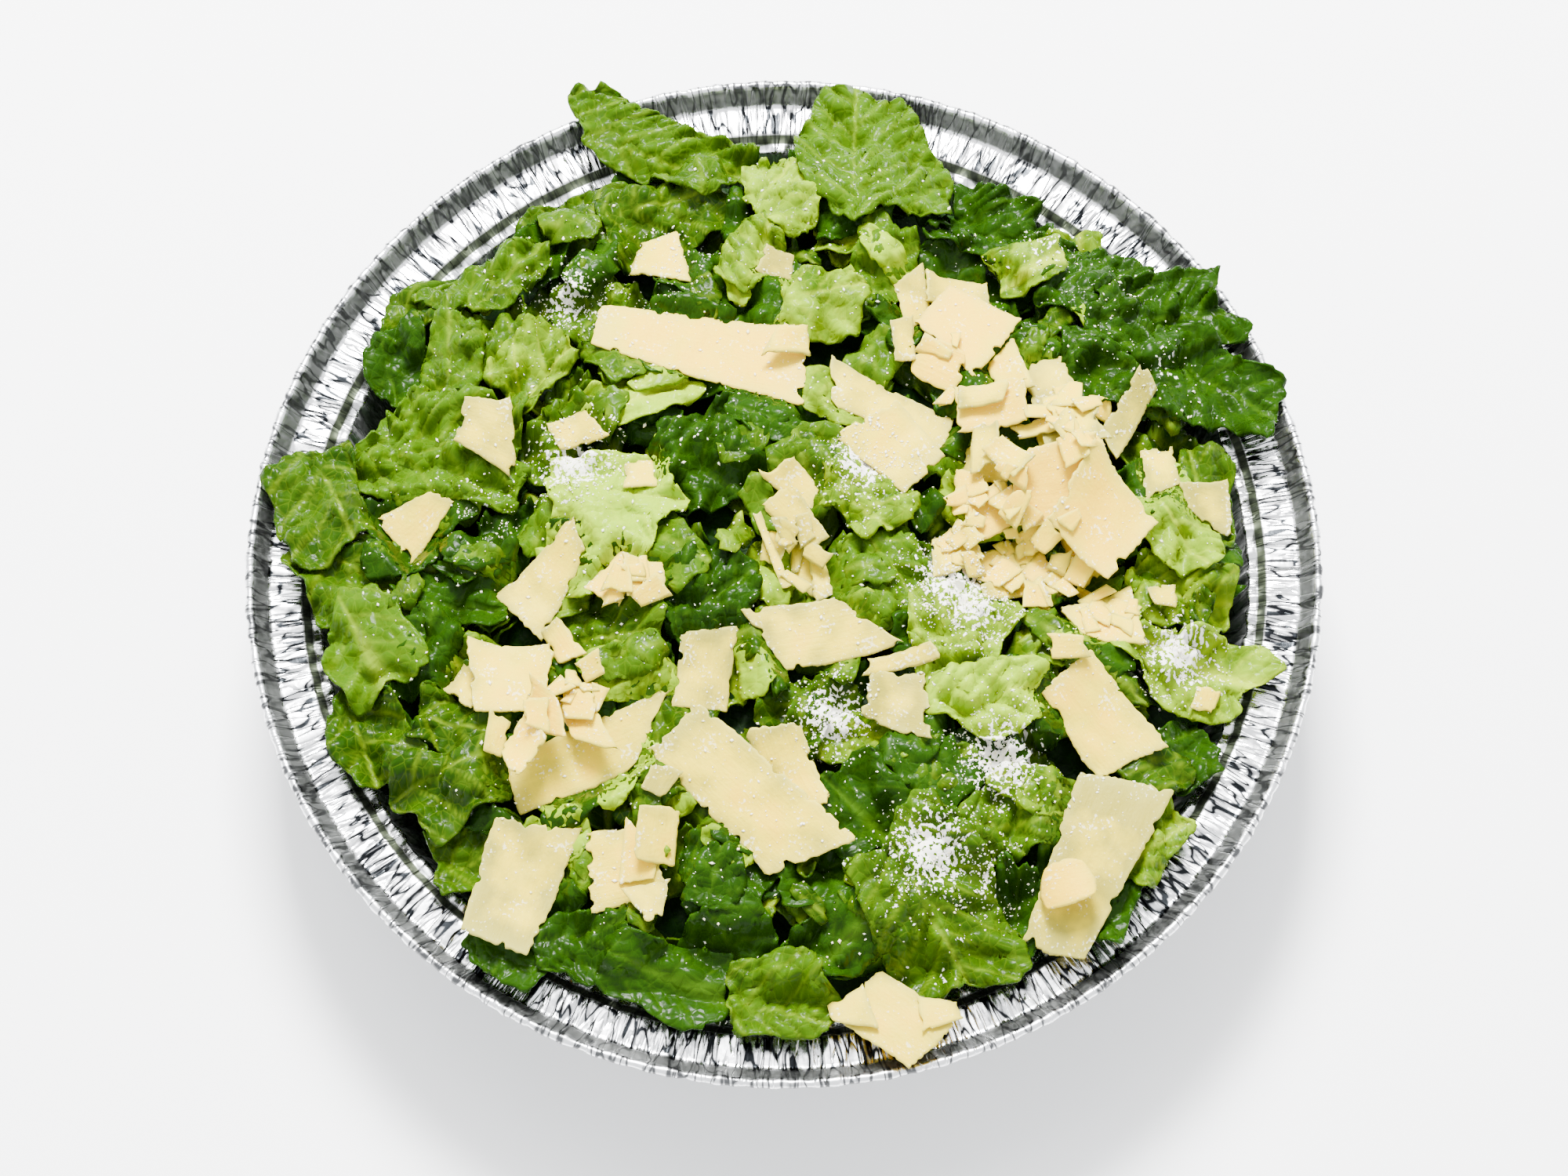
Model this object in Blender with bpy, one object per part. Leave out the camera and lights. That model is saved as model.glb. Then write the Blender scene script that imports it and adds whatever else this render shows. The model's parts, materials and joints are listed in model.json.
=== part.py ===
"""A takeaway caesar salad: chopped cos lettuce heaped in a round foil pan, with shaved parmesan on top.

All sizes are in millimetres and are turned to metres where a mesh is made. +Z is up, the pan's base lies on
z = 0 and its axis is the Z axis. -Y is the side nearest to someone who looks at the salad.
"""

import math
import random
from collections import namedtuple

import bmesh
import bpy
import numpy as np
from mathutils import Vector, noise
from mathutils.bvhtree import BVHTree

MM = 0.001

# The foil pan, whose radii and heights follow a nine inch takeaway pan
PAN_RADIUS = 115.0
PAN_HEIGHT = 45.0
FOIL_THICKNESS = 0.5
BASE_RADIUS = 84.0
BASE_CORNER = 4.0
SHOULDER_RADIUS = 99.0
SHOULDER_HEIGHT = 39.2
LEDGE_INNER_RADIUS = 103.4
LEDGE_OUTER_RADIUS = 110.1
LEDGE_HEIGHT = 40.6
HEM_RADIUS = 1.0
PAN_STEPS = 44

# The lettuce heap, from its bare core to the leaf pieces that stand out of it
HEAP_RADIUS = 97.0
HEAP_EDGE_HEIGHT = 41.0
HEAP_RISE = 12.5
CORE_DEPTH = 2.8
CORE_RADIUS = 94.5
CORE_EDGE_DROP = 7.0
CORE_FLOOR_GAP = 0.35
CORE_WALL_GAP = 1.6
CORE_STEPS = 32
CORE_LUMP = 1.3
LEAF_THICKNESS = 1.1
LARGE_LEAF = 26.0
SMALL_LEAF = 19.0
STEM_FROM_RADIUS = 52.0
STEM_FOOT_RADIUS = 84.0
STEM_DEPTH = 3.0
STEM_WIDTH = 1.6
LAYER_RISE = 2.0
RIM_CLEARANCE = 0.9
RIM_RAMP_START = 86.0

# The parmesan shavings
SHAVING_THICKNESS = 0.9
LONG_SHAVING = 22.0
SHORT_SHAVING = 13.5
SHAVING_GAP = 0.35
MOST_NICK = 0.08
MOST_TEAR = 0.06
STEEPEST_SHAVING = 0.38
MOST_BEND = 2.4
PROBE_SPACING = 0.53
PROBE_HEIGHT = 140.0

# Places are read in the plane of the rim along a line of sight that leans 20.5 degrees from the vertical,
# so a piece that lies above that plane is this much nearer to the viewer for each millimetre of height
SIGHT_LEAN = math.tan(math.radians(20.5))

Leaf = namedtuple("Leaf", "x y length width turn layer")
# A shaving lies at x and y, turned from +X, wider towards its end by its taper, with both ends slanted in degrees
Shaving = namedtuple("Shaving", "name x y length width turn taper start_slant end_slant")
Surface = namedtuple("Surface", "tree points box")

LEAVES = (
    # Leaves that cover what would show bare between the others
    Leaf(-10, 48, 30, 24, 20, 0),
    Leaf(55, 14, 30, 26, -30, 0),
    Leaf(44, 44, 28, 26, 30, 0),
    Leaf(-25, -46, 28, 22, 40, 0),
    Leaf(-55, -82, 24, 20, 60, 0),
    Leaf(-48, -36, 26, 22, 10, 0),
    Leaf(64, -70, 28, 22, 70, 0),
    # Far side, from left to right
    Leaf(-27, 95, 42, 18, -31, 2),
    Leaf(-46, 75, 24, 22, 70, 1),
    Leaf(-26, 78, 28, 18, 20, 1),
    Leaf(0, 82, 21, 20, 60, 2),
    Leaf(16, 79, 18, 15, 0, 1),
    Leaf(19, 93, 38, 30, 100, 2),
    Leaf(21, 65, 24, 14, 75, 1),
    Leaf(46, 76, 26, 20, -20, 1),
    Leaf(53, 65, 17, 12, 20, 2),
    Leaf(69, 61, 26, 19, -10, 1),
    Leaf(82, 54, 34, 20, 12, 2),
    Leaf(91, 38, 32, 22, -15, 2),
    Leaf(66, 40, 22, 16, -35, 2),
    Leaf(-64, 61, 30, 13, 28, 2),
    Leaf(-76, 57, 24, 12, 15, 1),
    Leaf(-43, 57, 19, 15, 60, 1),
    Leaf(-19, 61, 24, 16, 30, 1),
    Leaf(-7, 68, 20, 12, 70, 2),
    Leaf(7, 56, 20, 17, 0, 2),
    # Left side and middle
    Leaf(-83, 44, 20, 14, -80, 1),
    Leaf(-71, 43, 22, 13, 80, 2),
    Leaf(-53, 42, 21, 16, 50, 2),
    Leaf(-74, 22, 38, 26, -5, 2),
    Leaf(-52, 23, 18, 12, 10, 1),
    Leaf(-31, 35, 27, 12, 20, 1),
    Leaf(-99, 10, 26, 22, -70, 2),
    Leaf(-94, -5, 25, 20, -50, 1),
    Leaf(-87, -22, 24, 19, -60, 2),
    Leaf(-69, -10, 24, 13, -10, 1),
    Leaf(-58, 3, 20, 14, 30, 1),
    Leaf(-76, -24, 20, 14, 60, 1),
    Leaf(-35, 10, 30, 24, 0, 2),
    Leaf(-12, 22, 30, 22, 15, 1),
    Leaf(0, 30, 24, 17, -20, 1),
    Leaf(13, 35, 20, 15, 0, 1),
    Leaf(-17, -10, 23, 20, 30, 1),
    Leaf(-37, -15, 24, 18, 10, 1),
    Leaf(18, 10, 20, 14, -30, 2),
    Leaf(21, -5, 24, 20, -60, 1),
    Leaf(36, -18, 26, 22, 60, 2),
    Leaf(76, 14, 18, 14, 40, 1),
    Leaf(83, 5, 21, 17, -50, 2),
    Leaf(84, -9, 22, 17, -10, 1),
    Leaf(90, 12, 24, 14, 85, 1),
    Leaf(86, -27, 34, 18, -5, 2),
    # Near side, from left to right
    Leaf(-86, -41, 22, 17, -60, 1),
    Leaf(-68, -38, 22, 15, -20, 1),
    Leaf(-69, -53, 24, 19, 20, 2),
    Leaf(-63, -66, 20, 17, 10, 1),
    Leaf(-41, -87, 20, 16, 30, 1),
    Leaf(-24, -95, 26, 17, -10, 2),
    Leaf(-32, -27, 20, 14, 10, 1),
    Leaf(-11, -70, 24, 20, 30, 1),
    Leaf(-11, -86, 20, 18, -40, 1),
    Leaf(-1, -98, 23, 17, 0, 2),
    Leaf(5, -34, 22, 15, 0, 1),
    Leaf(17, -41, 21, 12, -10, 1),
    Leaf(8, -71, 20, 13, 10, 1),
    Leaf(17, -58, 22, 18, -60, 2),
    Leaf(9, -86, 24, 15, 25, 1),
    Leaf(31, -78, 38, 29, -60, 2),
    Leaf(30, -51, 20, 16, 30, 1),
    Leaf(42, -34, 24, 16, 10, 2),
    Leaf(48, -60, 28, 17, 20, 1),
    Leaf(66, -26, 22, 13, -50, 1),
    Leaf(81, -45, 20, 15, 20, 1),
    Leaf(75, -64, 20, 14, 50, 1),
)

SHAVINGS = (
    # Heap of shavings on the right, from the lowest to the topmost
    Shaving("heap_low_left", 43, 21.5, 10.5, 10.5, 5, 0.05, -16, -7),
    Shaving("heap_low_right", 62, 21.5, 19, 14, -73, 0.0, 10, 0),
    Shaving("heap_edge", 63, 3, 14, 6, -67, 0.0, 0, 13),
    Shaving("tall_pale", 58.5, 33.5, 24, 11, -73, 0.2, 0, -20),
    Shaving("leaning_strip", 73.5, 32, 19, 6, 60, -0.1, -30, -28),
    Shaving("heap_lower", 47.5, 1, 14, 8, 24, -0.1, 8, 10),
    Shaving("heap_left", 36, 1.5, 11, 9, 21, -0.1, -18, 0),
    Shaving("heap_golden", 43, 9.5, 11, 9, 35, 0.1, -20, -10),
    Shaving("heap_middle", 55.5, 14, 16, 16, 6, 0.05, -13, -20),
    Shaving("heap_corner", 47, 19.5, 10, 6, -45, 0.1, 0, 0),
    Shaving("heap_large", 66.5, 6, 19.5, 18, -49, -0.05, 18, 8),
    Shaving("heap_front_strip", 50, -5, 18, 4.5, 18, 0.1, -9, 45),
    Shaving("heap_back_chip", 54, 27, 11, 4, 10, 0.1, 20, 20),
    # Stack of shavings at the far right
    Shaving("stack_tall", 28, 61, 12, 7, 101, 0.1, 36, 33),
    Shaving("stack_behind", 48, 42, 11, 8, -71, 0.0, 30, -15),
    Shaving("stack_far", 37.5, 63, 14, 7, -1, -0.2, 0, 8),
    Shaving("stack_square", 39, 52.5, 18.5, 15.5, -38, 0.2, 0, 2),
    Shaving("stack_round", 33, 43.5, 12, 10, -31, 0.05, 8, 13),
    Shaving("stack_front", 44, 32.5, 15.5, 10.5, 7, 0.0, -4, -4),
    Shaving("right_upper", 80, 20, 12, 8, -86, 0.1, 7, 28),
    Shaving("right_edge", 90, 12, 11, 9.5, -9, 0.45, 27, 12),
    Shaving("right_star", 67.5, -14.5, 14.5, 12, 8, 0.35, 27, 0),
    Shaving("stack_top", 42, 34, 10.5, 5, 7, -0.15, -10, -26),
    # Middle and left
    Shaving("long_bar", -18, 47.5, 47.5, 15, -15, 0.33, 10, 18),
    Shaving("bar_chip", 1, 47, 9, 6.5, 10, 0.1, -40, -7),
    Shaving("bent_strip", 22.5, 34, 27.5, 9.5, -25, -0.12, 28, 8),
    Shaving("middle_square", 23.5, 23.5, 18, 14, -45, -0.1, -16, 0),
    Shaving("far_left", -27, 69, 11, 11, -3, 0.3, -11, 16),
    Shaving("far_pale", -1.5, 67, 7.5, 7, -11, -0.1, -9, 5),
    Shaving("left_kite", -63, 27, 13, 13, -21, 0.25, 7, 25),
    Shaving("left_small", -44.5, 28.5, 10, 7, 15, 0.15, 12, 26),
    Shaving("pale_chip", -30.5, 18.5, 7, 7, 12, 0.1, -12, 0),
    Shaving("left_wedge", -77.5, 8.5, 14, 9.5, 39, -0.45, 0, 22),
    Shaving("left_hook", -49.5, -4, 22, 11, 52, -0.4, -6, -35),
    Shaving("left_tail", -46.5, -19, 10, 5.5, -58, 0.1, 5, -20),
    Shaving("fan_a", -35, -5, 12, 7.5, 56, -0.25, 3, 7),
    Shaving("fan_b", -29, -5.5, 8.5, 9, 2, -0.1, 4, 2),
    Shaving("centre_back", 2.5, 16, 11, 7, -38, -0.2, -18, 20),
    Shaving("centre_front", 3, 8.5, 14.5, 6.5, -48, -0.35, -6, -12),
    Shaving("centre_standing", 5, -1.5, 8, 7.5, -27, 0.3, 20, 30),
    # Near side
    Shaving("front_arrow", 7, -16.5, 23.5, 14, 9, 0.0, 30, 42),
    Shaving("front_curl", 24, -24, 15, 4, 9, 0.1, -25, 22),
    Shaving("front_hook", -16.5, -24, 17.5, 12, 82, 0.0, 4, 15),
    Shaving("front_pale", 23.5, -33, 13.5, 12.5, -12, 0.2, 0, 15),
    Shaving("left_low_back", -65.5, -28, 10, 9, 65, -0.1, -17, 10),
    Shaving("left_low_upper", -57, -27.5, 17, 16.5, -2, -0.05, 10, -5),
    Shaving("left_low_long", -42, -43.5, 32, 13, 21, 0.0, -5, -46),
    Shaving("left_low_wedge", -41.5, -37, 10, 9, -18, 0.0, 45, 45),
    Shaving("left_low_top", -49.5, -36, 9, 8.5, -29, -0.2, 20, 40),
    Shaving("left_low_tip", -54, -44.5, 10.5, 7.5, 55, 0.0, -30, -11),
    Shaving("centre_under", 1, -48, 20, 11, -68, 0.0, -17, -8),
    Shaving("centre_large", -8.5, -53, 42, 16, -45, 0.1, -4, -28),
    Shaving("near_left", -55, -73, 27.5, 17, 72, 0.1, -6, 10),
    Shaving("near_plate", -33, -68, 15.5, 15.5, 12, -0.1, -7, 0),
    Shaving("right_low", 65.5, -36, 24.5, 15, -52, 0.1, 0, -15),
    Shaving("right_long", 63, -69, 39.5, 17, 66, 0.17, 4, 11),
    Shaving("near_bow", 22.5, -101.5, 20, 14, -38, 0.0, -6, -6),
    Shaving("right_round", 58, -74.5, 11, 10, 12, -0.05, -12, 9),
)


def clear_scene():
    for old in list(bpy.data.objects):
        bpy.data.objects.remove(old)


def material(name, colour, roughness, metallic=0.0):
    made = bpy.data.materials.new(name)
    made.use_nodes = True
    shader = made.node_tree.nodes["Principled BSDF"]
    shader.inputs["Base Color"].default_value = (*colour, 1.0)
    shader.inputs["Roughness"].default_value = roughness
    shader.inputs["Metallic"].default_value = metallic
    made.diffuse_color = (*colour, 1.0)
    return made


def mesh_object(name, points_mm, faces, finish):
    """An object whose mesh is in metres in the world's axes, shown with one material."""
    mesh = bpy.data.meshes.new(name)
    mesh.from_pydata([Vector(point) * MM for point in points_mm], [], faces)
    mesh.materials.append(finish)
    made = bpy.data.objects.new(name, mesh)
    bpy.context.scene.collection.objects.link(made)
    return made


def smoothstep(low, high, value):
    share = min(1.0, max(0.0, (value - low) / (high - low)))
    return share * share * (3 - 2 * share)


# The pan


def pan_profile():
    """The middle of the foil from the base's centre to the rolled hem, as (radius, height)."""
    half = FOIL_THICKNESS / 2
    corner = [
        (
            BASE_RADIUS + BASE_CORNER * math.sin(math.radians(turn)),
            half + BASE_CORNER * (1 - math.cos(math.radians(turn))),
        )
        for turn in (0, 36, 72)
    ]
    hem_radius = PAN_RADIUS - HEM_RADIUS - half
    hem_height = PAN_HEIGHT - HEM_RADIUS - half
    hem = [
        (
            hem_radius - HEM_RADIUS * math.cos(math.radians(turn)),
            hem_height + HEM_RADIUS * math.sin(math.radians(turn)),
        )
        for turn in (30, 90, 180)
    ]
    return [
        (0, half),
        *corner,
        (SHOULDER_RADIUS, SHOULDER_HEIGHT - 0.6),
        (SHOULDER_RADIUS + 0.6, SHOULDER_HEIGHT),
        (SHOULDER_RADIUS + 2.0, SHOULDER_HEIGHT),
        (LEDGE_INNER_RADIUS, LEDGE_HEIGHT),
        (LEDGE_OUTER_RADIUS, LEDGE_HEIGHT),
        *hem,
    ]


def build_pan(foil):
    """The profile turned about the axis by a Screw, then given its thickness."""
    profile = pan_profile()
    points = [(radius, 0, height) for radius, height in profile]
    edges = [(i, i + 1) for i in range(len(points) - 1)]
    mesh = bpy.data.meshes.new("foil_pan")
    mesh.from_pydata([Vector(point) * MM for point in points], edges, [])
    mesh.materials.append(foil)
    pan = bpy.data.objects.new("foil_pan", mesh)
    bpy.context.scene.collection.objects.link(pan)
    screw = pan.modifiers.new("turn", "SCREW")
    screw.angle = math.tau
    screw.steps = screw.render_steps = PAN_STEPS
    screw.use_merge_vertices = True
    screw.merge_threshold = 0.00001
    screw.use_smooth_shade = True
    shell = pan.modifiers.new("foil", "SOLIDIFY")
    shell.thickness = FOIL_THICKNESS * MM
    shell.offset = 0
    shell.use_even_offset = True
    return pan


# The lettuce


def heap_height(x, y):
    """How high the tops of the leaves lie over a point, before their own relief."""
    share = min(1.0, math.hypot(x, y) / HEAP_RADIUS)
    return HEAP_EDGE_HEIGHT + HEAP_RISE * (1 - share * share) ** 0.8


def lump(x, y, size):
    return noise.noise(Vector((x / size, y / size, 3.7)))


def core_height(x, y):
    share = math.hypot(x, y) / CORE_RADIUS
    return heap_height(x, y) - CORE_DEPTH - CORE_EDGE_DROP * share**6 + CORE_LUMP * lump(x, y, 17)


def wall_radius(height):
    """The pan's inner radius at a height on its sloping wall."""
    share = height / SHOULDER_HEIGHT
    return BASE_RADIUS + BASE_CORNER + (SHOULDER_RADIUS - BASE_RADIUS - BASE_CORNER) * share


def build_core(lettuce):
    """The bare heap: a floor, a side that follows the pan's wall, and an uneven dome."""
    floor = FOIL_THICKNESS + CORE_FLOOR_GAP
    side = ((BASE_RADIUS - CORE_WALL_GAP, floor), (wall_radius(12) - CORE_WALL_GAP, 12))
    dome_shares = (1.0, 0.95, 0.86, 0.72, 0.56, 0.38, 0.19)
    angles = [math.tau * step / CORE_STEPS for step in range(CORE_STEPS)]
    rings = [[(r * math.cos(a), r * math.sin(a), z) for a in angles] for r, z in side]
    for share in dome_shares:
        radius = CORE_RADIUS * share
        ring = [(radius * math.cos(a), radius * math.sin(a)) for a in angles]
        rings.append([(x, y, core_height(x, y)) for x, y in ring])
    points = [(0, 0, floor), *(point for ring in rings for point in ring), (0, 0, core_height(0, 0))]
    faces = []
    for step in range(CORE_STEPS):
        after = (step + 1) % CORE_STEPS
        faces.append((0, 1 + after, 1 + step))
        for level in range(len(rings) - 1):
            low, high = 1 + level * CORE_STEPS, 1 + (level + 1) * CORE_STEPS
            faces.append((low + step, low + after, high + after))
            faces.append((low + step, high + after, high + step))
        last = 1 + (len(rings) - 1) * CORE_STEPS
        faces.append((last + step, last + after, len(points) - 1))
    return mesh_object("lettuce_heap", points, faces, lettuce)


def rim_limit(x, y):
    """The lowest that a leaf may lie where it crosses the rim of the pan."""
    top = PAN_HEIGHT + RIM_CLEARANCE + LEAF_THICKNESS / 2
    radius = math.hypot(x, y)
    if radius < RIM_RAMP_START:
        return 0.0
    return top - 9.0 * (1 - smoothstep(RIM_RAMP_START, LEDGE_INNER_RADIUS, radius))


def leaf_surface(leaf, index):
    """A function from (u, v), each from -1 to 1, to a point on the middle of a wavy piece of leaf."""
    draw = random.Random(1000 + index)
    waves = [draw.uniform(0, math.tau) for _ in range(4)]
    pitch, roll = draw.uniform(-0.24, 0.24), draw.uniform(-0.3, 0.3)
    cup, arch = draw.uniform(-2.5, 2.5), draw.uniform(-2.0, 2.0)
    turn = math.radians(leaf.turn)
    height = heap_height(leaf.x, leaf.y)
    middle_y = leaf.y - (height - PAN_HEIGHT) * SIGHT_LEAN

    def point(u, v):
        disc_u = u * math.sqrt(1 - 0.3 * v * v)
        disc_v = v * math.sqrt(1 - 0.3 * u * u)
        angle, reach = math.atan2(disc_v, disc_u), min(1.2, math.hypot(disc_u, disc_v))
        edge = 1 + 0.07 * math.sin(3 * angle + waves[0]) + 0.06 * math.sin(5 * angle + waves[1])
        along = disc_u * edge * leaf.length / 2
        across = disc_v * edge * leaf.width / 2
        x = leaf.x + along * math.cos(turn) - across * math.sin(turn)
        y = middle_y + along * math.sin(turn) + across * math.cos(turn)
        lift = along * pitch + across * roll + cup * disc_v**2 + arch * disc_u**2 - (cup + arch) / 3
        ruffle = 1.3 * reach**2 * math.sin(4 * angle + waves[2])
        ruffle += 0.8 * reach * math.sin(7 * angle + waves[3])
        z = heap_height(x, y) - 0.8 + leaf.layer * LAYER_RISE + lift + ruffle
        return Vector((x, y, max(z, rim_limit(x, y))))

    return point


def leaf_cells(leaf):
    """How many cells a leaf is split into along and across."""
    if leaf.length >= LARGE_LEAF:
        return 4, 3
    return (3, 2) if leaf.length >= SMALL_LEAF else (2, 2)


def build_leaf(leaf, index, lettuce):
    """A thin wavy solid whose two faces are split into triangles alike."""
    surface = leaf_surface(leaf, index)
    cells_u, cells_v = leaf_cells(leaf)
    us = [2 * i / cells_u - 1 for i in range(cells_u + 1)]
    vs = [2 * j / cells_v - 1 for j in range(cells_v + 1)]
    grid = [surface(u, v) for u in us for v in vs]
    rise = Vector((0, 0, LEAF_THICKNESS / 2))
    points = [p + rise for p in grid] + [p - rise for p in grid]
    return mesh_object(f"leaf_{index}", points, plate_faces(cells_u, cells_v), lettuce)


def build_stem(leaf, index, lettuce):
    """A short stem that holds the leaf's inner part to the core."""
    surface = leaf_surface(leaf, index)
    steps = (-0.5, 0.0, 0.5)
    head = min((surface(u, v) for u in steps for v in steps), key=lambda p: math.hypot(p.x, p.y))
    shrink = min(1.0, STEM_FOOT_RADIUS / math.hypot(head.x, head.y))
    foot_x, foot_y = head.x * shrink, head.y * shrink
    foot = Vector((foot_x, foot_y, min(head.z, core_height(foot_x, foot_y)) - STEM_DEPTH))
    head.z += LEAF_THICKNESS
    points = []
    for middle, width in ((head, STEM_WIDTH), (foot, 2 * STEM_WIDTH)):
        for corner in range(3):
            turn = math.tau * corner / 3 + index
            points.append(middle + Vector((math.cos(turn), math.sin(turn), 0)) * width / 2)
    faces = [(0, 1, 2), (5, 4, 3)]
    faces += [(i, 3 + i, 3 + (i + 1) % 3, (i + 1) % 3) for i in range(3)]
    return mesh_object(f"stem_{index}", points, faces, lettuce)


def plate_faces(cells_u, cells_v):
    """Triangles of a closed plate whose upper points come first and whose lower points follow alike."""
    wide = cells_v + 1
    under = (cells_u + 1) * wide
    faces = []
    for i in range(cells_u):
        for j in range(cells_v):
            a, b = i * wide + j, (i + 1) * wide + j
            for upper in ((a, b, b + 1), (a, b + 1, a + 1)):
                faces.append(upper)
                faces.append(tuple(under + k for k in reversed(upper)))
    rim = [i * wide for i in range(cells_u)]
    rim += [cells_u * wide + j for j in range(cells_v)]
    rim += [i * wide + cells_v for i in range(cells_u, 0, -1)]
    rim += list(range(cells_v, 0, -1))
    for here, after in zip(rim, rim[1:] + rim[:1]):
        faces.append((here, under + here, under + after))
        faces.append((here, under + after, after))
    return faces


def drop_scraps(obj):
    """Keeps only the largest of an object's loose bodies."""
    shape = bmesh.new()
    shape.from_mesh(obj.data)
    left = set(shape.verts)
    islands = []
    while left:
        island, edge = set(), [left.pop()]
        while edge:
            vert = edge.pop()
            island.add(vert)
            near = {link.other_vert(vert) for link in vert.link_edges} & left
            left -= near
            edge.extend(near)
        islands.append(island)
    islands.sort(key=len)
    for island in islands[:-1]:
        bmesh.ops.delete(shape, geom=list(island), context="VERTS")
    bmesh.ops.triangulate(shape, faces=shape.faces)
    shape.to_mesh(obj.data)
    shape.free()


def build_heap(lettuce):
    """The core with the leaves, and the stems of those that lie high or far out, fused on by one union."""
    heap = build_core(lettuce)
    pieces = bpy.data.collections.new("leaf pieces")
    bpy.context.scene.collection.children.link(pieces)
    for index, leaf in enumerate(LEAVES):
        made = [build_leaf(leaf, index, lettuce)]
        if leaf.layer == 2 or math.hypot(leaf.x, leaf.y) > STEM_FROM_RADIUS:
            made.append(build_stem(leaf, index, lettuce))
        for piece in made:
            bpy.context.scene.collection.objects.unlink(piece)
            pieces.objects.link(piece)
    union = heap.modifiers.new("fuse", "BOOLEAN")
    union.operation = "UNION"
    union.operand_type = "COLLECTION"
    union.collection = pieces
    union.solver = "MANIFOLD"
    fused = bpy.data.meshes.new_from_object(heap.evaluated_get(bpy.context.evaluated_depsgraph_get()))
    heap.modifiers.clear()
    heap.data = fused
    for piece in list(pieces.objects):
        bpy.data.objects.remove(piece)
    bpy.data.collections.remove(pieces)
    drop_scraps(heap)
    return heap


# The parmesan


def laid_surface(obj):
    """An object's evaluated mesh in millimetres, ready for finding what lies under a point."""
    mesh = obj.evaluated_get(bpy.context.evaluated_depsgraph_get()).to_mesh()
    points = [vertex.co / MM for vertex in mesh.vertices]
    tree = BVHTree.FromPolygons(points, [tuple(face.vertices) for face in mesh.polygons])
    xs, ys = [point.x for point in points], [point.y for point in points]
    return Surface(tree, points, (min(xs), min(ys), max(xs), max(ys)))


def top_at(below, x, y):
    """The height of the topmost surface at a point, or 0 over bare floor."""
    start, down = Vector((x, y, PROBE_HEIGHT)), Vector((0, 0, -1))
    hits = [surface.tree.ray_cast(start, down)[0] for surface in below]
    return max([hit.z for hit in hits if hit] + [0.0])


def shaving_plan(shaving, u, v, draw_edges):
    """Where (u, v), each from -1 to 1, lies in a shaving's plan: cut along its sides, torn at its ends."""
    width = shaving.width * (1 + shaving.taper * u) / 2
    lean = math.tan(math.radians(shaving.start_slant if u < 0 else shaving.end_slant))
    side_nick, end_tear = draw_edges
    across = v * width * (1 + side_nick * abs(v))
    along = u * shaving.length / 2 * (1 + end_tear * abs(u) ** 3) - across * lean * abs(u)
    return along, across


def shaving_cells(shaving):
    """How many cells a shaving is split into along and across."""
    if shaving.length >= LONG_SHAVING:
        return 4, 2
    return (3, 2) if shaving.length >= SHORT_SHAVING else (2, 2)


def shaving_points(shaving, middle_y, seed):
    """Plan positions of the shaving's grid of points."""
    cells_u, cells_v = shaving_cells(shaving)
    draw = random.Random(seed)
    turn = math.radians(shaving.turn)
    points = []
    for i in range(cells_u + 1):
        for j in range(cells_v + 1):
            u, v = 2 * i / cells_u - 1, 2 * j / cells_v - 1
            edges = (draw.uniform(-MOST_NICK, MOST_NICK / 2), draw.uniform(-MOST_TEAR, MOST_TEAR / 2))
            along, across = shaving_plan(shaving, u, v, edges)
            x = shaving.x + along * math.cos(turn) - across * math.sin(turn)
            y = middle_y + along * math.sin(turn) + across * math.cos(turn)
            points.append((x, y, along))
    return points


def resting_bend(shaving, middle_y, below):
    """Coefficients of height over (1, x, y, along squared) that follow what lies under the shaving."""
    turn = math.radians(shaving.turn)
    rows, heights = [], []
    for i in range(-4, 5):
        for j in range(-2, 3):
            along, across = i / 4 * shaving.length / 2, j / 2 * shaving.width / 2
            dx = along * math.cos(turn) - across * math.sin(turn)
            dy = along * math.sin(turn) + across * math.cos(turn)
            rows.append((1.0, dx, dy, along * along))
            x, y = shaving.x + dx, middle_y + dy
            heights.append(max(top_at(below, x, y), heap_height(x, y) - 3))
    fit = np.linalg.lstsq(np.array(rows), np.array(heights), rcond=None)[0]
    steepness = math.hypot(fit[1], fit[2])
    if steepness > STEEPEST_SHAVING:
        fit[1:3] *= STEEPEST_SHAVING / steepness
    most_bend = MOST_BEND / max(shaving.length / 2, 6.0) ** 2
    fit[3] = min(most_bend, max(-most_bend, fit[3]))
    return fit


def lowest_clearance(points, faces, below):
    """How far the plate can come down before its underside meets what is below."""
    plate = BVHTree.FromPolygons(points, faces)
    xs, ys = [p[0] for p in points], [p[1] for p in points]
    columns = int((max(xs) - min(xs)) / PROBE_SPACING) + 1
    rows = int((max(ys) - min(ys)) / PROBE_SPACING) + 1
    spots = [(i, j) for i in range(columns) for j in range(rows)]
    probes = [(min(xs) + i * PROBE_SPACING, min(ys) + j * PROBE_SPACING) for i, j in spots]
    gaps = [p[2] - SHAVING_THICKNESS - top_at(below, p[0], p[1]) for p in points]
    gaps += [underside(plate, x, y) - top_at(below, x, y) for x, y in probes]
    for surface in below:
        gaps += [underside(plate, p.x, p.y) - p.z for p in surface.points]
    return min(gaps)


def underside(plate, x, y):
    """The height of the plate's lower face at a point, or infinity beside the plate."""
    hit = plate.ray_cast(Vector((x, y, -PROBE_HEIGHT)), Vector((0, 0, 1)))[0]
    return hit.z if hit else math.inf


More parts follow.
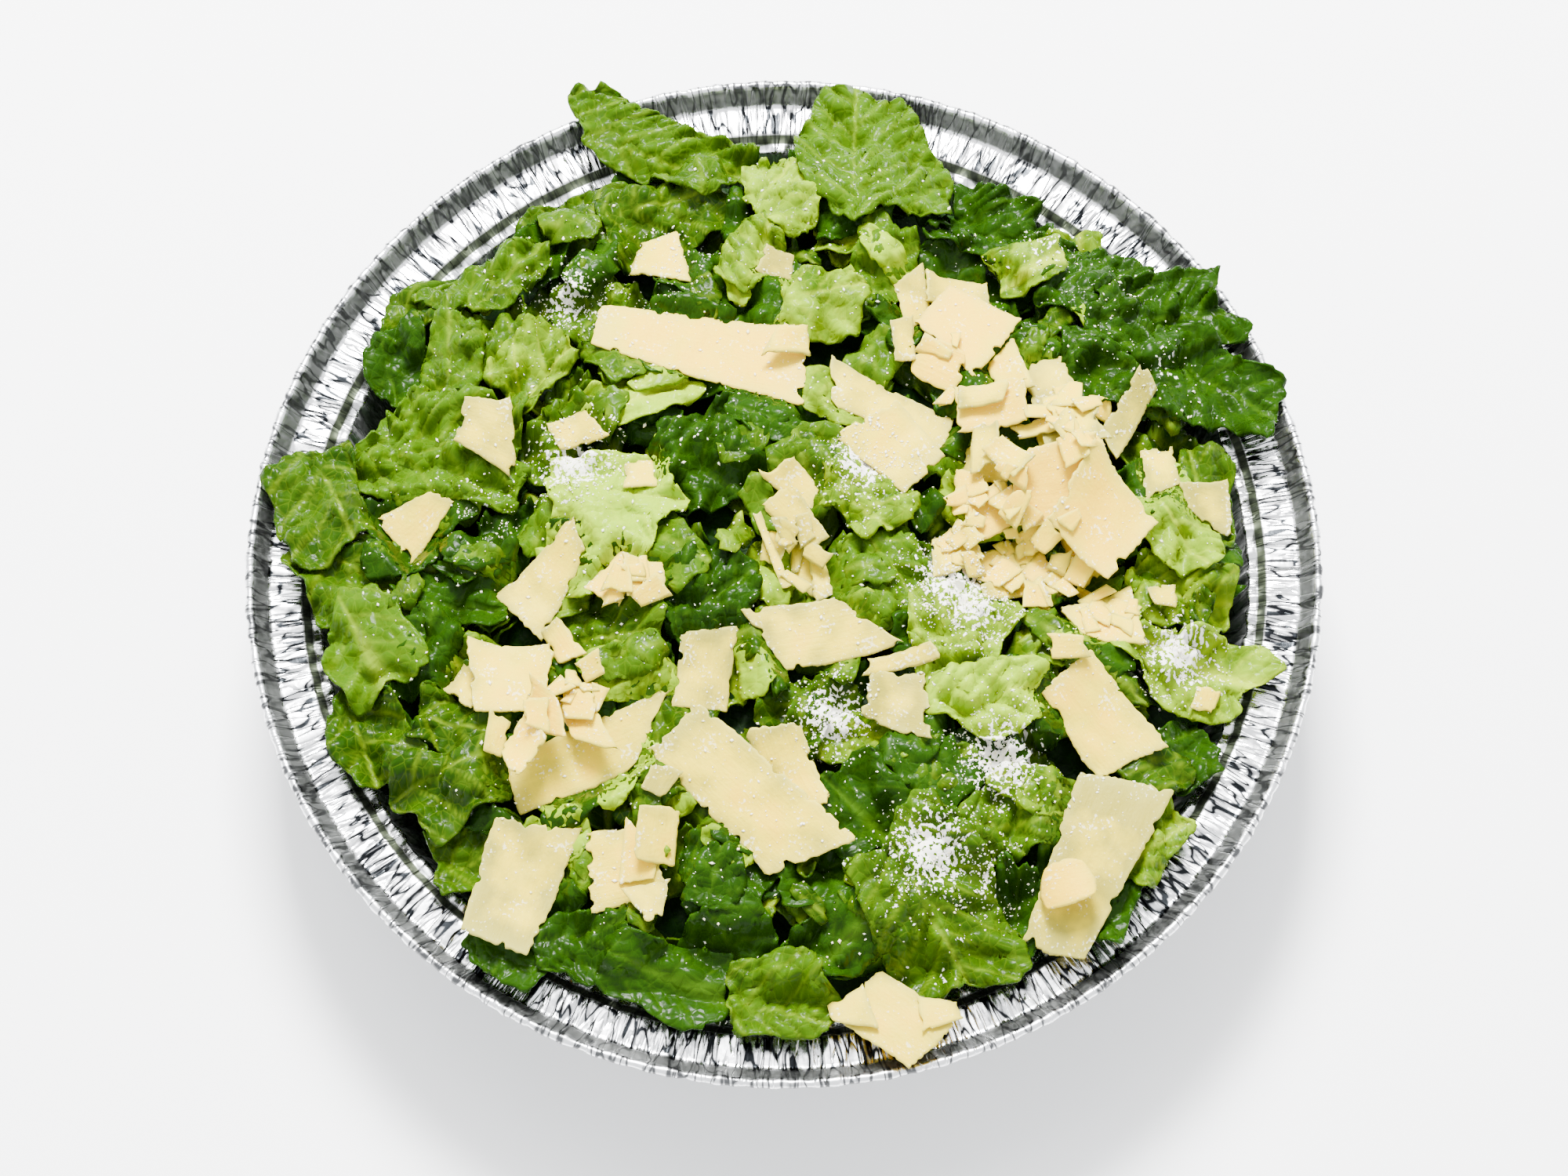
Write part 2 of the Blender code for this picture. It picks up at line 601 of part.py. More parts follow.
def build_shaving(shaving, index, surfaces, parmesan):
    """Lays one shaving down on the lettuce and on the shavings laid before it."""
    faces = plate_faces(*shaving_cells(shaving))
    middle_y = shaving.y - (heap_height(shaving.x, shaving.y) + 3 - PAN_HEIGHT) * SIGHT_LEAN
    below = [surface for surface in surfaces if reaches(shaving, middle_y, surface.box)]
    fit = resting_bend(shaving, middle_y, below)
    upper, lower = [], []
    for x, y, along in shaving_points(shaving, middle_y, 500 + index):
        dx, dy = x - shaving.x, y - middle_y
        height = fit[0] + fit[1] * dx + fit[2] * dy + fit[3] * along * along + 20
        upper.append((x, y, height + SHAVING_THICKNESS))
        lower.append((x, y, height))
    fall = lowest_clearance(upper + lower, faces, below) - SHAVING_GAP
    points = [(x, y, z - fall) for x, y, z in upper + lower]
    return mesh_object(f"shaving_{shaving.name}", points, faces, parmesan)


def reaches(shaving, middle_y, box):
    """Whether the shaving may lie over a box given as (low x, low y, high x, high y)."""
    half = shaving.length / 2 + shaving.width / 2
    clear_x = shaving.x + half < box[0] or shaving.x - half > box[2]
    clear_y = middle_y + half < box[1] or middle_y - half > box[3]
    return not (clear_x or clear_y)


def main():
    clear_scene()
    foil = material("aluminium foil", (0.78, 0.79, 0.8), 0.22, metallic=1.0)
    lettuce = material("cos lettuce", (0.13, 0.33, 0.03), 0.4)
    parmesan = material("shaved parmesan", (0.86, 0.74, 0.48), 0.5)
    surfaces = [laid_surface(build_pan(foil)), laid_surface(build_heap(lettuce))]
    for index, shaving in enumerate(SHAVINGS):
        surfaces.append(laid_surface(build_shaving(shaving, index, surfaces, parmesan)))


main()
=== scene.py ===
"""The looks of a caesar salad in a foil pan: creased foil, crinkled cos leaves, shaved and grated parmesan.

Sizes are in millimetres, and a mesh is turned to metres where it is made. Each shaving of the table is the
one of that place in the CAD at full detail, and so is each leaf but the last two.
"""

import json
import math
import random
from collections import namedtuple
from functools import partial

import bpy
import numpy as np
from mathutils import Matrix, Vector
from mathutils.bvhtree import BVHTree

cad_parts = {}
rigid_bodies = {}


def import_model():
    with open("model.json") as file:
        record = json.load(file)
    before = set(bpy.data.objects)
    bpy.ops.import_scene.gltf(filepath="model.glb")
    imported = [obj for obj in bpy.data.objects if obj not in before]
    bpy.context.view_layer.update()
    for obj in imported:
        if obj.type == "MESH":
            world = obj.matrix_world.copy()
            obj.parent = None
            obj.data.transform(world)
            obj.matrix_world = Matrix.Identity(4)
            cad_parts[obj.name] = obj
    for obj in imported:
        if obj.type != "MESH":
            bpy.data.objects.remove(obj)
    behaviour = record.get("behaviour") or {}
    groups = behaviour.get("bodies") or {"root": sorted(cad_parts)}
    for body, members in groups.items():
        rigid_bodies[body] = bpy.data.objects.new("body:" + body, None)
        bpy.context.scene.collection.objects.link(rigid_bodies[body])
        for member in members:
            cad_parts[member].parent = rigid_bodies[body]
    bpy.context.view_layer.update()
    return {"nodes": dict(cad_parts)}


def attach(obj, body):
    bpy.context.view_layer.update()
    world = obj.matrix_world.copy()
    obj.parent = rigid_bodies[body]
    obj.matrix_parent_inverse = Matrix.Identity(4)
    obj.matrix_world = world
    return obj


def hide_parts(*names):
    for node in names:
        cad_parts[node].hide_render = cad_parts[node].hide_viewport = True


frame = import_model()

bl_info = {
    "name": "Caesar salad in a foil pan",
    "version": (1, 0, 0),
    "blender": (4, 5, 0),
    "location": "View3D > Sidebar > Salad",
    "description": "Builds the pan, the lettuce, the parmesan and the stage around the packed part",
    "category": "Object",
}

MM = 0.001

# The pan's and the heap's sizes, as in the CAD
PAN_RADIUS = 115.0
PAN_HEIGHT = 45.0
FOIL = 0.5
BASE_RADIUS = 84.0
BASE_CORNER = 4.0
SHOULDER_RADIUS = 99.0
SHOULDER_HEIGHT = 39.2
LEDGE_INNER = 103.4
LEDGE_OUTER = 110.1
LEDGE_HEIGHT = 40.6
HEM_RADIUS = 1.0
HEAP_RADIUS = 97.0
HEAP_EDGE_HEIGHT = 41.0
HEAP_RISE = 12.5
LAYER_RISE = 2.0
RIM_RAMP_START = 86.0
SHAVING_THICKNESS = 0.9
SIGHT_LEAN = math.tan(math.radians(20.5))

# Height maps have one cell per millimetre. The lettuce stays below a shaving, and below a slope beside it
MAP_HALF = 120
MAP_SIZE = 2 * MAP_HALF + 1
OPEN_SKY = 900.0
CEILING_SPREAD = 9
CEILING_SLOPE = 1.25
CEILING_GAP = 0.45

# How a leaf piece is formed: its puffs, how far it sinks for them, its gap to what lies below, how far it is
# lifted as a whole, how high it may lie over the heap, and its gap to the rim
PUFF_HEIGHT = 1.95
PUFF_SINK = 1.1
GROUND_GAP = 0.3
WHOLE_LIFT = 3.2
TOP_RISE = 7.0
TOP_STEP = 1.5
RIM_GAP = 0.75
RIM_DROP = 8.5
LEAF_WAX = 0.24
CORE_RADIUS = 94.0
CORE_DEPTH = 4.5

# Tones from dark to light that belong to the outer, middle and heart leaves
TONE_SPREADS = ((0.0, 0.3), (0.3, 0.58), (0.58, 0.9))

# How parmesan lies: the thickness of a small chip, its gap, and the widest patch of crumbs that is irregular
CHIP_THICKNESS = 0.55
CHIP_GAP = 0.3
CHIP_LIFT = 2.6
CHIP_SLOPE = 0.5
PATCH_REACH = 30

# The pan's wrinkles are laid out along a circle in the middle of its rim
RIM_MIDDLE = 106
PLEATS = 96
POINTS_ROUND = 1440

# A mesh's plan is laid out with a tenth of a metre as its unit
PLAN_SCALE = 0.01
ABOVE_ALL = 120
PICTURE_SHARE = 1.448

Leaf = namedtuple("Leaf", "x y length width turn layer tone crinkle powder rib")
Shaving = namedtuple("Shaving", "name x y length width turn taper start_slant end_slant tone")

# The leaf pieces that show, those of a lower layer under those of a higher one
LEAF_ROWS = (
    (-10, 48, 30, 24, 20, 0, 0.25, 1.2, 0.2, 0),
    (55, 14, 30, 26, -30, 0, 0.2, 1.0, 0.1, 0),
    (44, 44, 28, 26, 30, 0, 0.2, 1.0, 0.1, 0),
    (-25, -46, 28, 22, 40, 0, 0.3, 1.0, 0.0, 0),
    (-55, -82, 24, 20, 60, 0, 0.25, 1.0, 0.0, 0),
    (-48, -36, 26, 22, 10, 0, 0.2, 1.0, 0.0, 0),
    (64, -70, 28, 22, 70, 0, 0.25, 1.2, 0.1, 0),
    (-27, 95, 42, 18, -31, 2, 0.45, 1.5, 0.0, 0),
    (-46, 75, 24, 22, 70, 1, 0.4, 0.9, 0.0, 0),
    (-26, 78, 28, 18, 20, 1, 0.35, 0.9, 0.1, 0),
    (0, 82, 21, 20, 60, 2, 0.72, 1.6, 0.1, 0),
    (16, 79, 18, 15, 0, 1, 0.25, 1.0, 0.1, 0),
    (19, 93, 38, 30, 100, 2, 0.53, 1.8, 0.0, 0),
    (21, 65, 24, 14, 75, 1, 0.5, 1.4, 0.1, 0),
    (46, 76, 26, 20, -20, 1, 0.12, 1.7, 0.3, 0),
    (53, 65, 17, 12, 20, 2, 0.63, 0.8, 0.2, 1),
    (69, 61, 26, 19, -10, 1, 0.15, 1.5, 0.3, 0),
    (82, 54, 34, 20, 12, 2, 0.12, 1.6, 0.3, 0),
    (91, 38, 32, 22, -15, 2, 0.15, 1.3, 0.2, 0),
    (66, 40, 22, 16, -35, 2, 0.15, 1.0, 0.2, 0),
    (-64, 61, 30, 13, 28, 2, 0.45, 1.2, 0.0, 0),
    (-76, 57, 24, 12, 15, 1, 0.35, 1.2, 0.0, 0),
    (-43, 57, 19, 15, 60, 1, 0.45, 1.2, 0.3, 0),
    (-19, 61, 24, 16, 30, 1, 0.15, 1.0, 0.2, 0),
    (-7, 68, 20, 12, 70, 2, 0.66, 1.6, 0.1, 0),
    (7, 56, 20, 17, 0, 2, 0.68, 1.2, 0.2, 0),
    (-83, 44, 20, 14, -80, 1, 0.15, 0.8, 0.0, 0),
    (-71, 43, 22, 13, 80, 2, 0.5, 1.6, 0.0, 0),
    (-53, 42, 21, 16, 50, 2, 0.64, 1.2, 0.3, 0),
    (-74, 22, 38, 26, -5, 2, 0.57, 1.8, 0.1, 0),
    (-52, 23, 18, 12, 10, 1, 0.4, 1.2, 0.3, 0),
    (-31, 35, 27, 12, 20, 1, 0.95, 1.0, 0.2, 1),
    (-99, 10, 26, 22, -70, 2, 0.36, 0.9, 0.0, 0),
    (-94, -5, 25, 20, -50, 1, 0.4, 1.2, 0.0, 0),
    (-87, -22, 24, 19, -60, 2, 0.57, 0.5, 0.0, 1),
    (-69, -10, 24, 13, -10, 1, 0.2, 0.8, 0.1, 0),
    (-58, 3, 20, 14, 30, 1, 0.2, 0.8, 0.1, 0),
    (-76, -24, 20, 14, 60, 1, 0.15, 1.0, 0.0, 0),
    (-35, 10, 30, 24, 0, 2, 1.0, 1.2, 0.6, 0),
    (-12, 22, 30, 22, 15, 1, 0.12, 1.2, 0.2, 0),
    (0, 30, 24, 17, -20, 1, 0.2, 1.0, 0.2, 0),
    (13, 35, 20, 15, 0, 1, 0.7, 0.6, 0.2, 0),
    (-17, -10, 23, 20, 30, 1, 0.12, 1.2, 0.1, 0),
    (-37, -15, 24, 18, 10, 1, 0.45, 1.0, 0.1, 0),
    (18, 10, 20, 14, -30, 2, 0.64, 1.0, 0.6, 0),
    (21, -5, 24, 20, -60, 1, 0.55, 1.6, 0.2, 0),
    (36, -18, 26, 22, 60, 2, 0.7, 1.5, 0.7, 0),
    (76, 14, 18, 14, 40, 1, 0.2, 1.0, 0.2, 0),
    (83, 5, 21, 17, -50, 2, 0.74, 1.3, 0.2, 0),
    (84, -9, 22, 17, -10, 1, 0.64, 1.3, 0.2, 0),
    (90, 12, 24, 14, 85, 1, 0.4, 1.0, 0.1, 0),
    (86, -27, 34, 18, -5, 2, 0.72, 1.0, 0.6, 1),
    (-86, -41, 22, 17, -60, 1, 0.32, 1.0, 0.0, 0),
    (-68, -38, 22, 15, -20, 1, 0.32, 0.8, 0.0, 0),
    (-69, -53, 24, 19, 20, 2, 0.32, 0.5, 0.0, 0),
    (-63, -66, 20, 17, 10, 1, 0.42, 1.0, 0.0, 0),
    (-41, -87, 20, 16, 30, 1, 0.15, 1.0, 0.1, 0),
    (-24, -95, 26, 17, -10, 2, 0.2, 0.4, 0.0, 1),
    (-32, -27, 20, 14, 10, 1, 0.7, 1.0, 0.3, 0),
    (-11, -70, 24, 20, 30, 1, 0.15, 1.1, 0.1, 0),
    (-11, -86, 20, 18, -40, 1, 0.2, 1.0, 0.1, 0),
    (-1, -98, 23, 17, 0, 2, 0.5, 1.3, 0.0, 0),
    (5, -34, 22, 15, 0, 1, 0.35, 1.0, 0.3, 0),
    (17, -41, 21, 12, -10, 1, 0.6, 1.0, 0.6, 0),
    (8, -71, 20, 13, 10, 1, 0.25, 1.0, 0.1, 0),
    (17, -58, 22, 18, -60, 2, 0.12, 0.5, 0.1, 1),
    (9, -86, 24, 15, 25, 1, 0.2, 0.8, 0.1, 1),
    (31, -78, 38, 29, -60, 2, 0.42, 1.5, 0.5, 0),
    (30, -51, 20, 16, 30, 1, 0.4, 1.0, 0.4, 0),
    (42, -34, 24, 16, 10, 2, 0.85, 1.7, 0.2, 0),
    (48, -60, 28, 17, 20, 1, 0.45, 1.2, 0.2, 0),
    (66, -26, 22, 13, -50, 1, 0.3, 1.0, 0.2, 0),
    (81, -45, 20, 15, 20, 1, 0.15, 1.0, 0.1, 0),
    (75, -64, 20, 14, 50, 1, 0.61, 1.2, 0.0, 0),
    (49, -79, 18, 14, 70, 1, 0.2, 1.0, 0.1, 0),
    (-32.5, -49.3, 18, 7, 60, 2, 0.85, 1.2, 0.1, 0),
)

# The parmesan shavings that lie where the CAD has them
SHAVING_ROWS = (
    ("heap_low_left", 43, 21.5, 10.5, 10.5, 5, 0.05, -16, -7, 0.45),
    ("heap_low_right", 62, 21.5, 19, 14, -73, 0.0, 10, 0, 0.5),
    ("heap_edge", 63, 3, 14, 6, -67, 0.0, 0, 13, 0.6),
    ("tall_pale", 58.5, 33.5, 24, 11, -73, 0.2, 0, -20, 0.12),
    ("leaning_strip", 73.5, 32, 19, 6, 60, -0.1, -30, -28, 0.0),
    ("heap_lower", 47.5, 1, 14, 8, 24, -0.1, 8, 10, 0.6),
    ("heap_left", 36, 1.5, 11, 9, 21, -0.1, -18, 0, 0.5),
    ("heap_golden", 43, 9.5, 11, 9, 35, 0.1, -20, -10, 1.1),
    ("heap_middle", 55.5, 14, 16, 16, 6, 0.05, -13, -20, 1.0),
    ("heap_corner", 47, 19.5, 10, 6, -45, 0.1, 0, 0, 0.6),
    ("heap_large", 66.5, 6, 19.5, 18, -49, -0.05, 18, 8, 0.9),
    ("heap_front_strip", 50, -5, 18, 4.5, 18, 0.1, -9, 45, 0.5),
    ("heap_back_chip", 54, 27, 11, 4, 10, 0.1, 20, 20, 0.5),
    ("stack_tall", 28, 61, 12, 7, 101, 0.1, 36, 33, 0.35),
    ("stack_behind", 48, 42, 11, 8, -71, 0.0, 30, -15, 0.6),
    ("stack_far", 37.5, 63, 14, 7, -1, -0.2, 0, 8, 0.45),
    ("stack_square", 39, 52.5, 18.5, 15.5, -38, 0.2, 0, 2, 1.0),
    ("stack_round", 33, 43.5, 12, 10, -31, 0.05, 8, 13, 0.95),
    ("stack_front", 44, 32.5, 15.5, 10.5, 7, 0.0, -4, -4, 0.85),
    ("right_upper", 80, 20, 12, 8, -86, 0.1, 7, 28, 0.2),
    ("right_edge", 90, 12, 11, 9.5, -9, 0.45, 27, 12, 0.0),
    ("right_star", 67.5, -14.5, 14.5, 12, 8, 0.35, 27, 0, 0.65),
    ("stack_top", 42, 34, 10.5, 5, 7, -0.15, -10, -26, 0.5),
    ("long_bar", -18, 47.5, 47.5, 15, -15, 0.33, 10, 18, 0.85),
    ("bar_chip", 1, 47, 9, 6.5, 10, 0.1, -40, -7, 0.55),
    ("bent_strip", 22.5, 34, 27.5, 9.5, -25, -0.12, 28, 8, 0.35),
    ("middle_square", 23.5, 23.5, 18, 14, -45, -0.1, -16, 0, 0.5),
    ("far_left", -27, 69, 11, 11, -3, 0.3, -11, 16, 0.55),
    ("far_pale", -1.5, 67, 7.5, 7, -11, -0.1, -9, 5, 0.0),
    ("left_kite", -63, 27, 13, 13, -21, 0.25, 7, 25, 0.2),
    ("left_small", -44.5, 28.5, 10, 7, 15, 0.15, 12, 26, 0.5),
    ("pale_chip", -30.5, 18.5, 7, 7, 12, 0.1, -12, 0, 0.45),
    ("left_wedge", -77.5, 8.5, 14, 9.5, 39, -0.45, 0, 22, 0.55),
    ("left_hook", -49.5, -4, 22, 11, 52, -0.4, -6, -35, 0.4),
    ("left_tail", -46.5, -19, 10, 5.5, -58, 0.1, 5, -20, 0.5),
    ("fan_a", -35, -5, 12, 7.5, 56, -0.25, 3, 7, 0.85),
    ("fan_b", -29, -5.5, 8.5, 9, 2, -0.1, 4, 2, 0.6),
    ("centre_back", 2.5, 16, 11, 7, -38, -0.2, -18, 20, 0.5),
    ("centre_front", 3, 8.5, 14.5, 6.5, -48, -0.35, -6, -12, 0.35),
    ("centre_standing", 5, -1.5, 8, 7.5, -27, 0.3, 20, 30, 0.4),
    ("front_arrow", 7, -16.5, 23.5, 14, 9, 0.0, 30, 42, 0.35),
    ("front_curl", 24, -24, 15, 4, 9, 0.1, -25, 22, 0.35),
    ("front_hook", -16.5, -24, 17.5, 12, 82, 0.0, 4, 15, 0.2),
    ("front_pale", 23.5, -33, 13.5, 12.5, -12, 0.2, 0, 15, 0.0),
    ("left_low_back", -65.5, -28, 10, 9, 65, -0.1, -17, 10, 0.3),
    ("left_low_upper", -57, -27.5, 17, 16.5, -2, -0.05, 10, -5, 0.6),
    ("left_low_long", -42, -43.5, 32, 13, 21, 0.0, -5, -46, 0.45),
    ("left_low_wedge", -41.5, -37, 10, 9, -18, 0.0, 45, 45, 0.75),
    ("left_low_top", -49.5, -36, 9, 8.5, -29, -0.2, 20, 40, 0.9),
    ("left_low_tip", -54, -44.5, 10.5, 7.5, 55, 0.0, -30, -11, 0.8),
    ("centre_under", 1, -48, 20, 11, -68, 0.0, -17, -8, 0.4),
    ("centre_large", -8.5, -53, 42, 16, -45, 0.1, -4, -28, 0.4),
    ("near_left", -55, -73, 27.5, 17, 72, 0.1, -6, 10, 0.15),
    ("near_plate", -33, -68, 15.5, 15.5, 12, -0.1, -7, 0, 0.5),
    ("right_low", 65.5, -36, 24.5, 15, -52, 0.1, 0, -15, 0.6),
    ("right_long", 63, -69, 39.5, 17, 66, 0.17, 4, 11, 0.05),
    ("near_bow", 22.5, -101.5, 20, 14, -38, 0.0, -6, -6, 0.55),
    ("right_round", 58, -74.5, 11, 10, 12, -0.05, -12, 9, 0.95),
)

# Chips that broke off the shavings, dropped on what lies below them
CHIP_ROWS = (
    (25.5, 49, 10, 5, 95, 0.1, 10, 20, 0.3),
    (63.5, 31, 7.5, 4.5, 80, 0.1, -15, 10, 0.8),
    (55, 30, 9, 3.5, 5, 0.0, 10, 20, 0.7),
    (67, 33, 6, 4.5, -10, 0.2, 0, 15, 0.8),
    (61, 27.5, 11, 8.5, -5, 0.1, 10, 0, 0.4),
    (42.5, 23, 11, 6, 88, -0.1, 20, 10, 0.3),
    (79.5, -10.5, 6, 5, 10, 0.2, 10, -10, 0.4),
    (-2.5, 1.5, 18, 2, -69, 0.1, 0, 0, 0.3),
    (-2, 3, 8, 5.5, 75, 0.2, 0, 20, 0.35),
    (7.5, -2.5, 11, 4, 100, -0.2, 10, 10, 0.4),
    (59, -22, 8, 5, 0, -0.1, 10, 20, 0.55),
    (-59.5, -41, 8.5, 4.5, 80, 0.1, 0, -15, 0.5),
    (-40, -26, 5, 5, 20, 0.1, 10, 0, 0.6),
    (-42.5, -33.5, 7.5, 7, -20, -0.2, 20, 10, 0.8),
    (-26, -62, 12, 8.5, 85, 0.0, 5, 10, 0.5),
    (-29.5, -66, 11.5, 8.5, 80, 0.1, 15, -20, 0.9),
    (-27.5, -76.5, 8.5, 7.5, -75, -0.5, 0, 10, 0.3),
    (88.5, -32, 6, 5, 70, 0.0, 10, 10, 0.5),
    (-25.5, -50.5, 7, 6, 60, 0.1, 10, 10, 0.0),
    (13.5, -99.5, 9, 7, 8, 0.5, 0, 10, 0.5),
    (32, -100.5, 9, 6, 5, -0.4, 0, 20, 0.5),
)

LEAVES = [Leaf(*row) for row in LEAF_ROWS]
SHAVINGS = [Shaving(*row) for row in SHAVING_ROWS]
CHIPS = [Shaving("chip", *row) for row in CHIP_ROWS]

# Places where small broken chips gather, as x, y, reach, number and tone
CHIP_PATCHES = (
    (43, 7, 10, 26, 0.75),
    (53, 1, 9, 16, 0.7),
    (58, -3, 6, 8, 0.6),
    (60, 28, 9, 9, 0.7),
    (-45, -34, 7, 6, 0.8),
    (-31, -5, 6, 7, 0.75),
    (68, -13, 6, 6, 0.65),
    (2, 1, 7, 7, 0.35),
    (36, 42, 7, 4, 0.7),
)

# Places where grated parmesan gathers, as x, y, reach and number of crumbs; the last is the whole salad
CRUMB_PATCHES = (
    (-47, 58, 11, 416),
    (-27, 65, 11, 320),
    (-44, 18, 12, 608),
    (-62, 8, 8, 224),
    (17, 16, 11, 512),
    (35, -10, 13, 672),
    (39, -16, 11, 480),
    (83, -23, 12, 480),
    (10, -39, 11, 512),
    (45, -48, 13, 512),
    (30, -68, 13, 608),
    (42, -73, 10, 320),
    (58, 70, 22, 272),
    (82, 42, 19, 240),
    (0, 0, 92, 2100),
)


def linear(code):
    """A linear colour with alpha from an sRGB code of six hexadecimal digits."""
    parts = [int(code[i : i + 2], 16) / 255 for i in (0, 2, 4)]
    return (*(p / 12.92 if p < 0.04045 else ((p + 0.055) / 1.055) ** 2.4 for p in parts), 1.0)


def number_setting(name, description, default, **more):
    """A setting that is a size or a share."""
    return bpy.props.FloatProperty(name=name, description=description, default=default, **more)


def amount_setting(name, description, default):
    """A setting that is a whole number of things."""
    return bpy.props.IntProperty(name=name, description=description, default=default, min=0)


def colour_setting(name, description, code):
    """A setting that is a colour, from its sRGB code."""
    return bpy.props.FloatVectorProperty(
        name=name, description=description, subtype="COLOR", size=4, default=linear(code), min=0.0, max=1.0
    )


class PanSettings(bpy.types.PropertyGroup):
    creases: amount_setting("Creases", "Radial creases in the rim", 230)
    crease_depth: number_setting("Crease depth", "Depth of a crease in mm", 0.38)
    pleat_depth: number_setting("Pleat depth", "Depth of a pleat on the wall in mm", 0.8)
    roughness: number_setting("Roughness", "Of the rolled foil", 0.2, subtype="FACTOR", min=0.0, max=1.0)
    # The bright colour is the foil's own; the shaded one is painted shade, with a painted reflection of the
    # leaves in its olive tint
    bright: colour_setting("Bright foil", "Foil that faces the light", "eeeff0")
    shaded: colour_setting("Shaded foil", "Foil that mirrors the leaves", "3e4436")


class LettuceSettings(bpy.types.PropertyGroup):
    spacing: number_setting("Spacing", "Size of a mesh cell in mm", 0.68)
    thickness: number_setting("Thickness", "Of a leaf in mm", 0.45)
    under_pieces: amount_setting("Under pieces", "Small pieces of leaf below the others", 300)
    over_pieces: amount_setting("Over pieces", "Small pieces of leaf between the others", 120)
    outer: colour_setting("Outer leaf", "The fresh green of an outer leaf", "1a3702")
    middle: colour_setting("Middle leaf", "The fresh green of a middle leaf", "345202")
    heart: colour_setting("Heart leaf", "The fresh green of a leaf of the heart", "80a000")


class ParmesanSettings(bpy.types.PropertyGroup):
    spacing: number_setting("Spacing", "Size of a mesh cell in mm", 0.55)
    crumb_size: number_setting("Crumb size", "Largest crumb in mm", 1.0)
    pale: colour_setting("Pale parmesan", "The palest of the shavings", "948a2c")
    ivory: colour_setting("Ivory parmesan", "The most usual tone of a shaving", "d6be1a")
    golden: colour_setting("Golden parmesan", "The ripest of the shavings", "e4ba04")


class StageSettings(bpy.types.PropertyGroup):
    lens: number_setting("Lens", "Focal length", 100.0, unit="CAMERA")
    elevation: number_setting("Elevation", "Of the camera above the horizon, in degrees", 69.4)
    world: number_setting("World", "Strength of the light all round", 2.2, min=0.0)
    card: colour_setting("Floor", "The card that the pan stands on", "fafafa")


def per(size):
    """The scale that gives a pattern cells of a size in mm."""
    return 1 / PLAN_SCALE / size


def connect(made, values):
    """Sets or links inputs of a node, given by name or number, or in their order."""
    for key, value in values.items() if isinstance(values, dict) else enumerate(values):
        if isinstance(value, bpy.types.NodeSocket):
            made.id_data.links.new(value, made.inputs[key])
        else:
            made.inputs[key].default_value = value


def node(tree, kind, values=(), output=0, **settings):
    """Adds a shader node with its settings and inputs, and returns one of its outputs.

    A colour mix has its share at input 0, its two colours at 6 and 7, and the mixed colour at output 2.
    """
    made = tree.nodes.new("ShaderNode" + kind)
    for key, value in settings.items():
        setattr(made, key, value)
    connect(made, values)
    return made.outputs[output]


def new_material(name):
    """A material with its shader and the function that adds its nodes."""
    made = bpy.data.materials.new(name)
    made.use_nodes = True
    return made, made.node_tree.nodes["Principled BSDF"], partial(node, made.node_tree)


def marks_of(add):
    """The three marks that a mesh has at each of its points."""
    marks = add("Attribute", output="Color", attribute_name="marks")
    return add("SeparateColor", (marks,)).node.outputs


def leaf_material(name, deep, fresh, vein, wax):
    """Cos leaf as grown and chopped: waxy, a little see-through, with paler veins and specks of cheese."""
    made, shader, add = new_material(name)
    place, (tone, veins, powder) = add("UVMap", uv_map="leaf plan"), marks_of(add)
    # Blotches of tone a few millimetres wide, as in the living leaf
    blotch = add("TexNoise", {"Vector": place, "Scale": per(5.0), "Detail": 4.0})
    blotch = add("MapRange", (blotch, 0.3, 0.7, -0.22, 0.22))
    # The tone mark carries painted shade in the creases between the puffs and painted light on their crests
    shade = add("Math", (tone, blotch), operation="ADD")
    green = add("Mix", {0: shade, 6: deep, 7: fresh}, 2, data_type="RGBA")
    # Net of the smallest veins, which the eye reads as fine crinkles
    net = add("TexVoronoi", {"Vector": place, "Scale": per(2.3)}, feature="DISTANCE_TO_EDGE")
    fine = add("MapRange", (net, 0.0, 0.07, 0.14, 0.0))
    lines = add("Math", (veins, fine), operation="MAXIMUM")
    veined = add("Mix", {0: lines, 6: green, 7: vein}, 2, data_type="RGBA")
    # Finest grated cheese, white grains that cling where it fell
    grain = add("TexNoise", {"Vector": place, "Scale": per(1.1), "Detail": 6.0})
    reach = add("MapRange", (powder, 0.0, 1.0, 0.76, 0.4))
    dusted = add("Math", (grain, reach), operation="SUBTRACT")
    dust = add("MapRange", (dusted, 0.0, 0.02, 0.0, 0.95))
    dusty = add("Mix", {0: dust, 6: veined, 7: linear("f4f2e6")}, 2, data_type="RGBA")
    raised = add("Math", (dust, 1.2), operation="MULTIPLY")
    height = add("Math", (add("MapRange", (net, 0.0, 0.25)), raised), operation="ADD")
    look = {
        "Base Color": dusty,
        "Roughness": add("MapRange", (dust, 0.0, 1.0, wax, 0.75)),
        "Normal": add("Bump", {"Strength": 0.5, "Distance": 0.25 * MM, "Height": height}),
        "IOR": 1.4,
        "Specular IOR Level": 0.08,
        "Subsurface Weight": 0.15,
        "Subsurface Radius": (0.5, 1.0, 0.05),
        "Subsurface Scale": 0.8 * MM,
    }
    connect(shader, look)
    return made


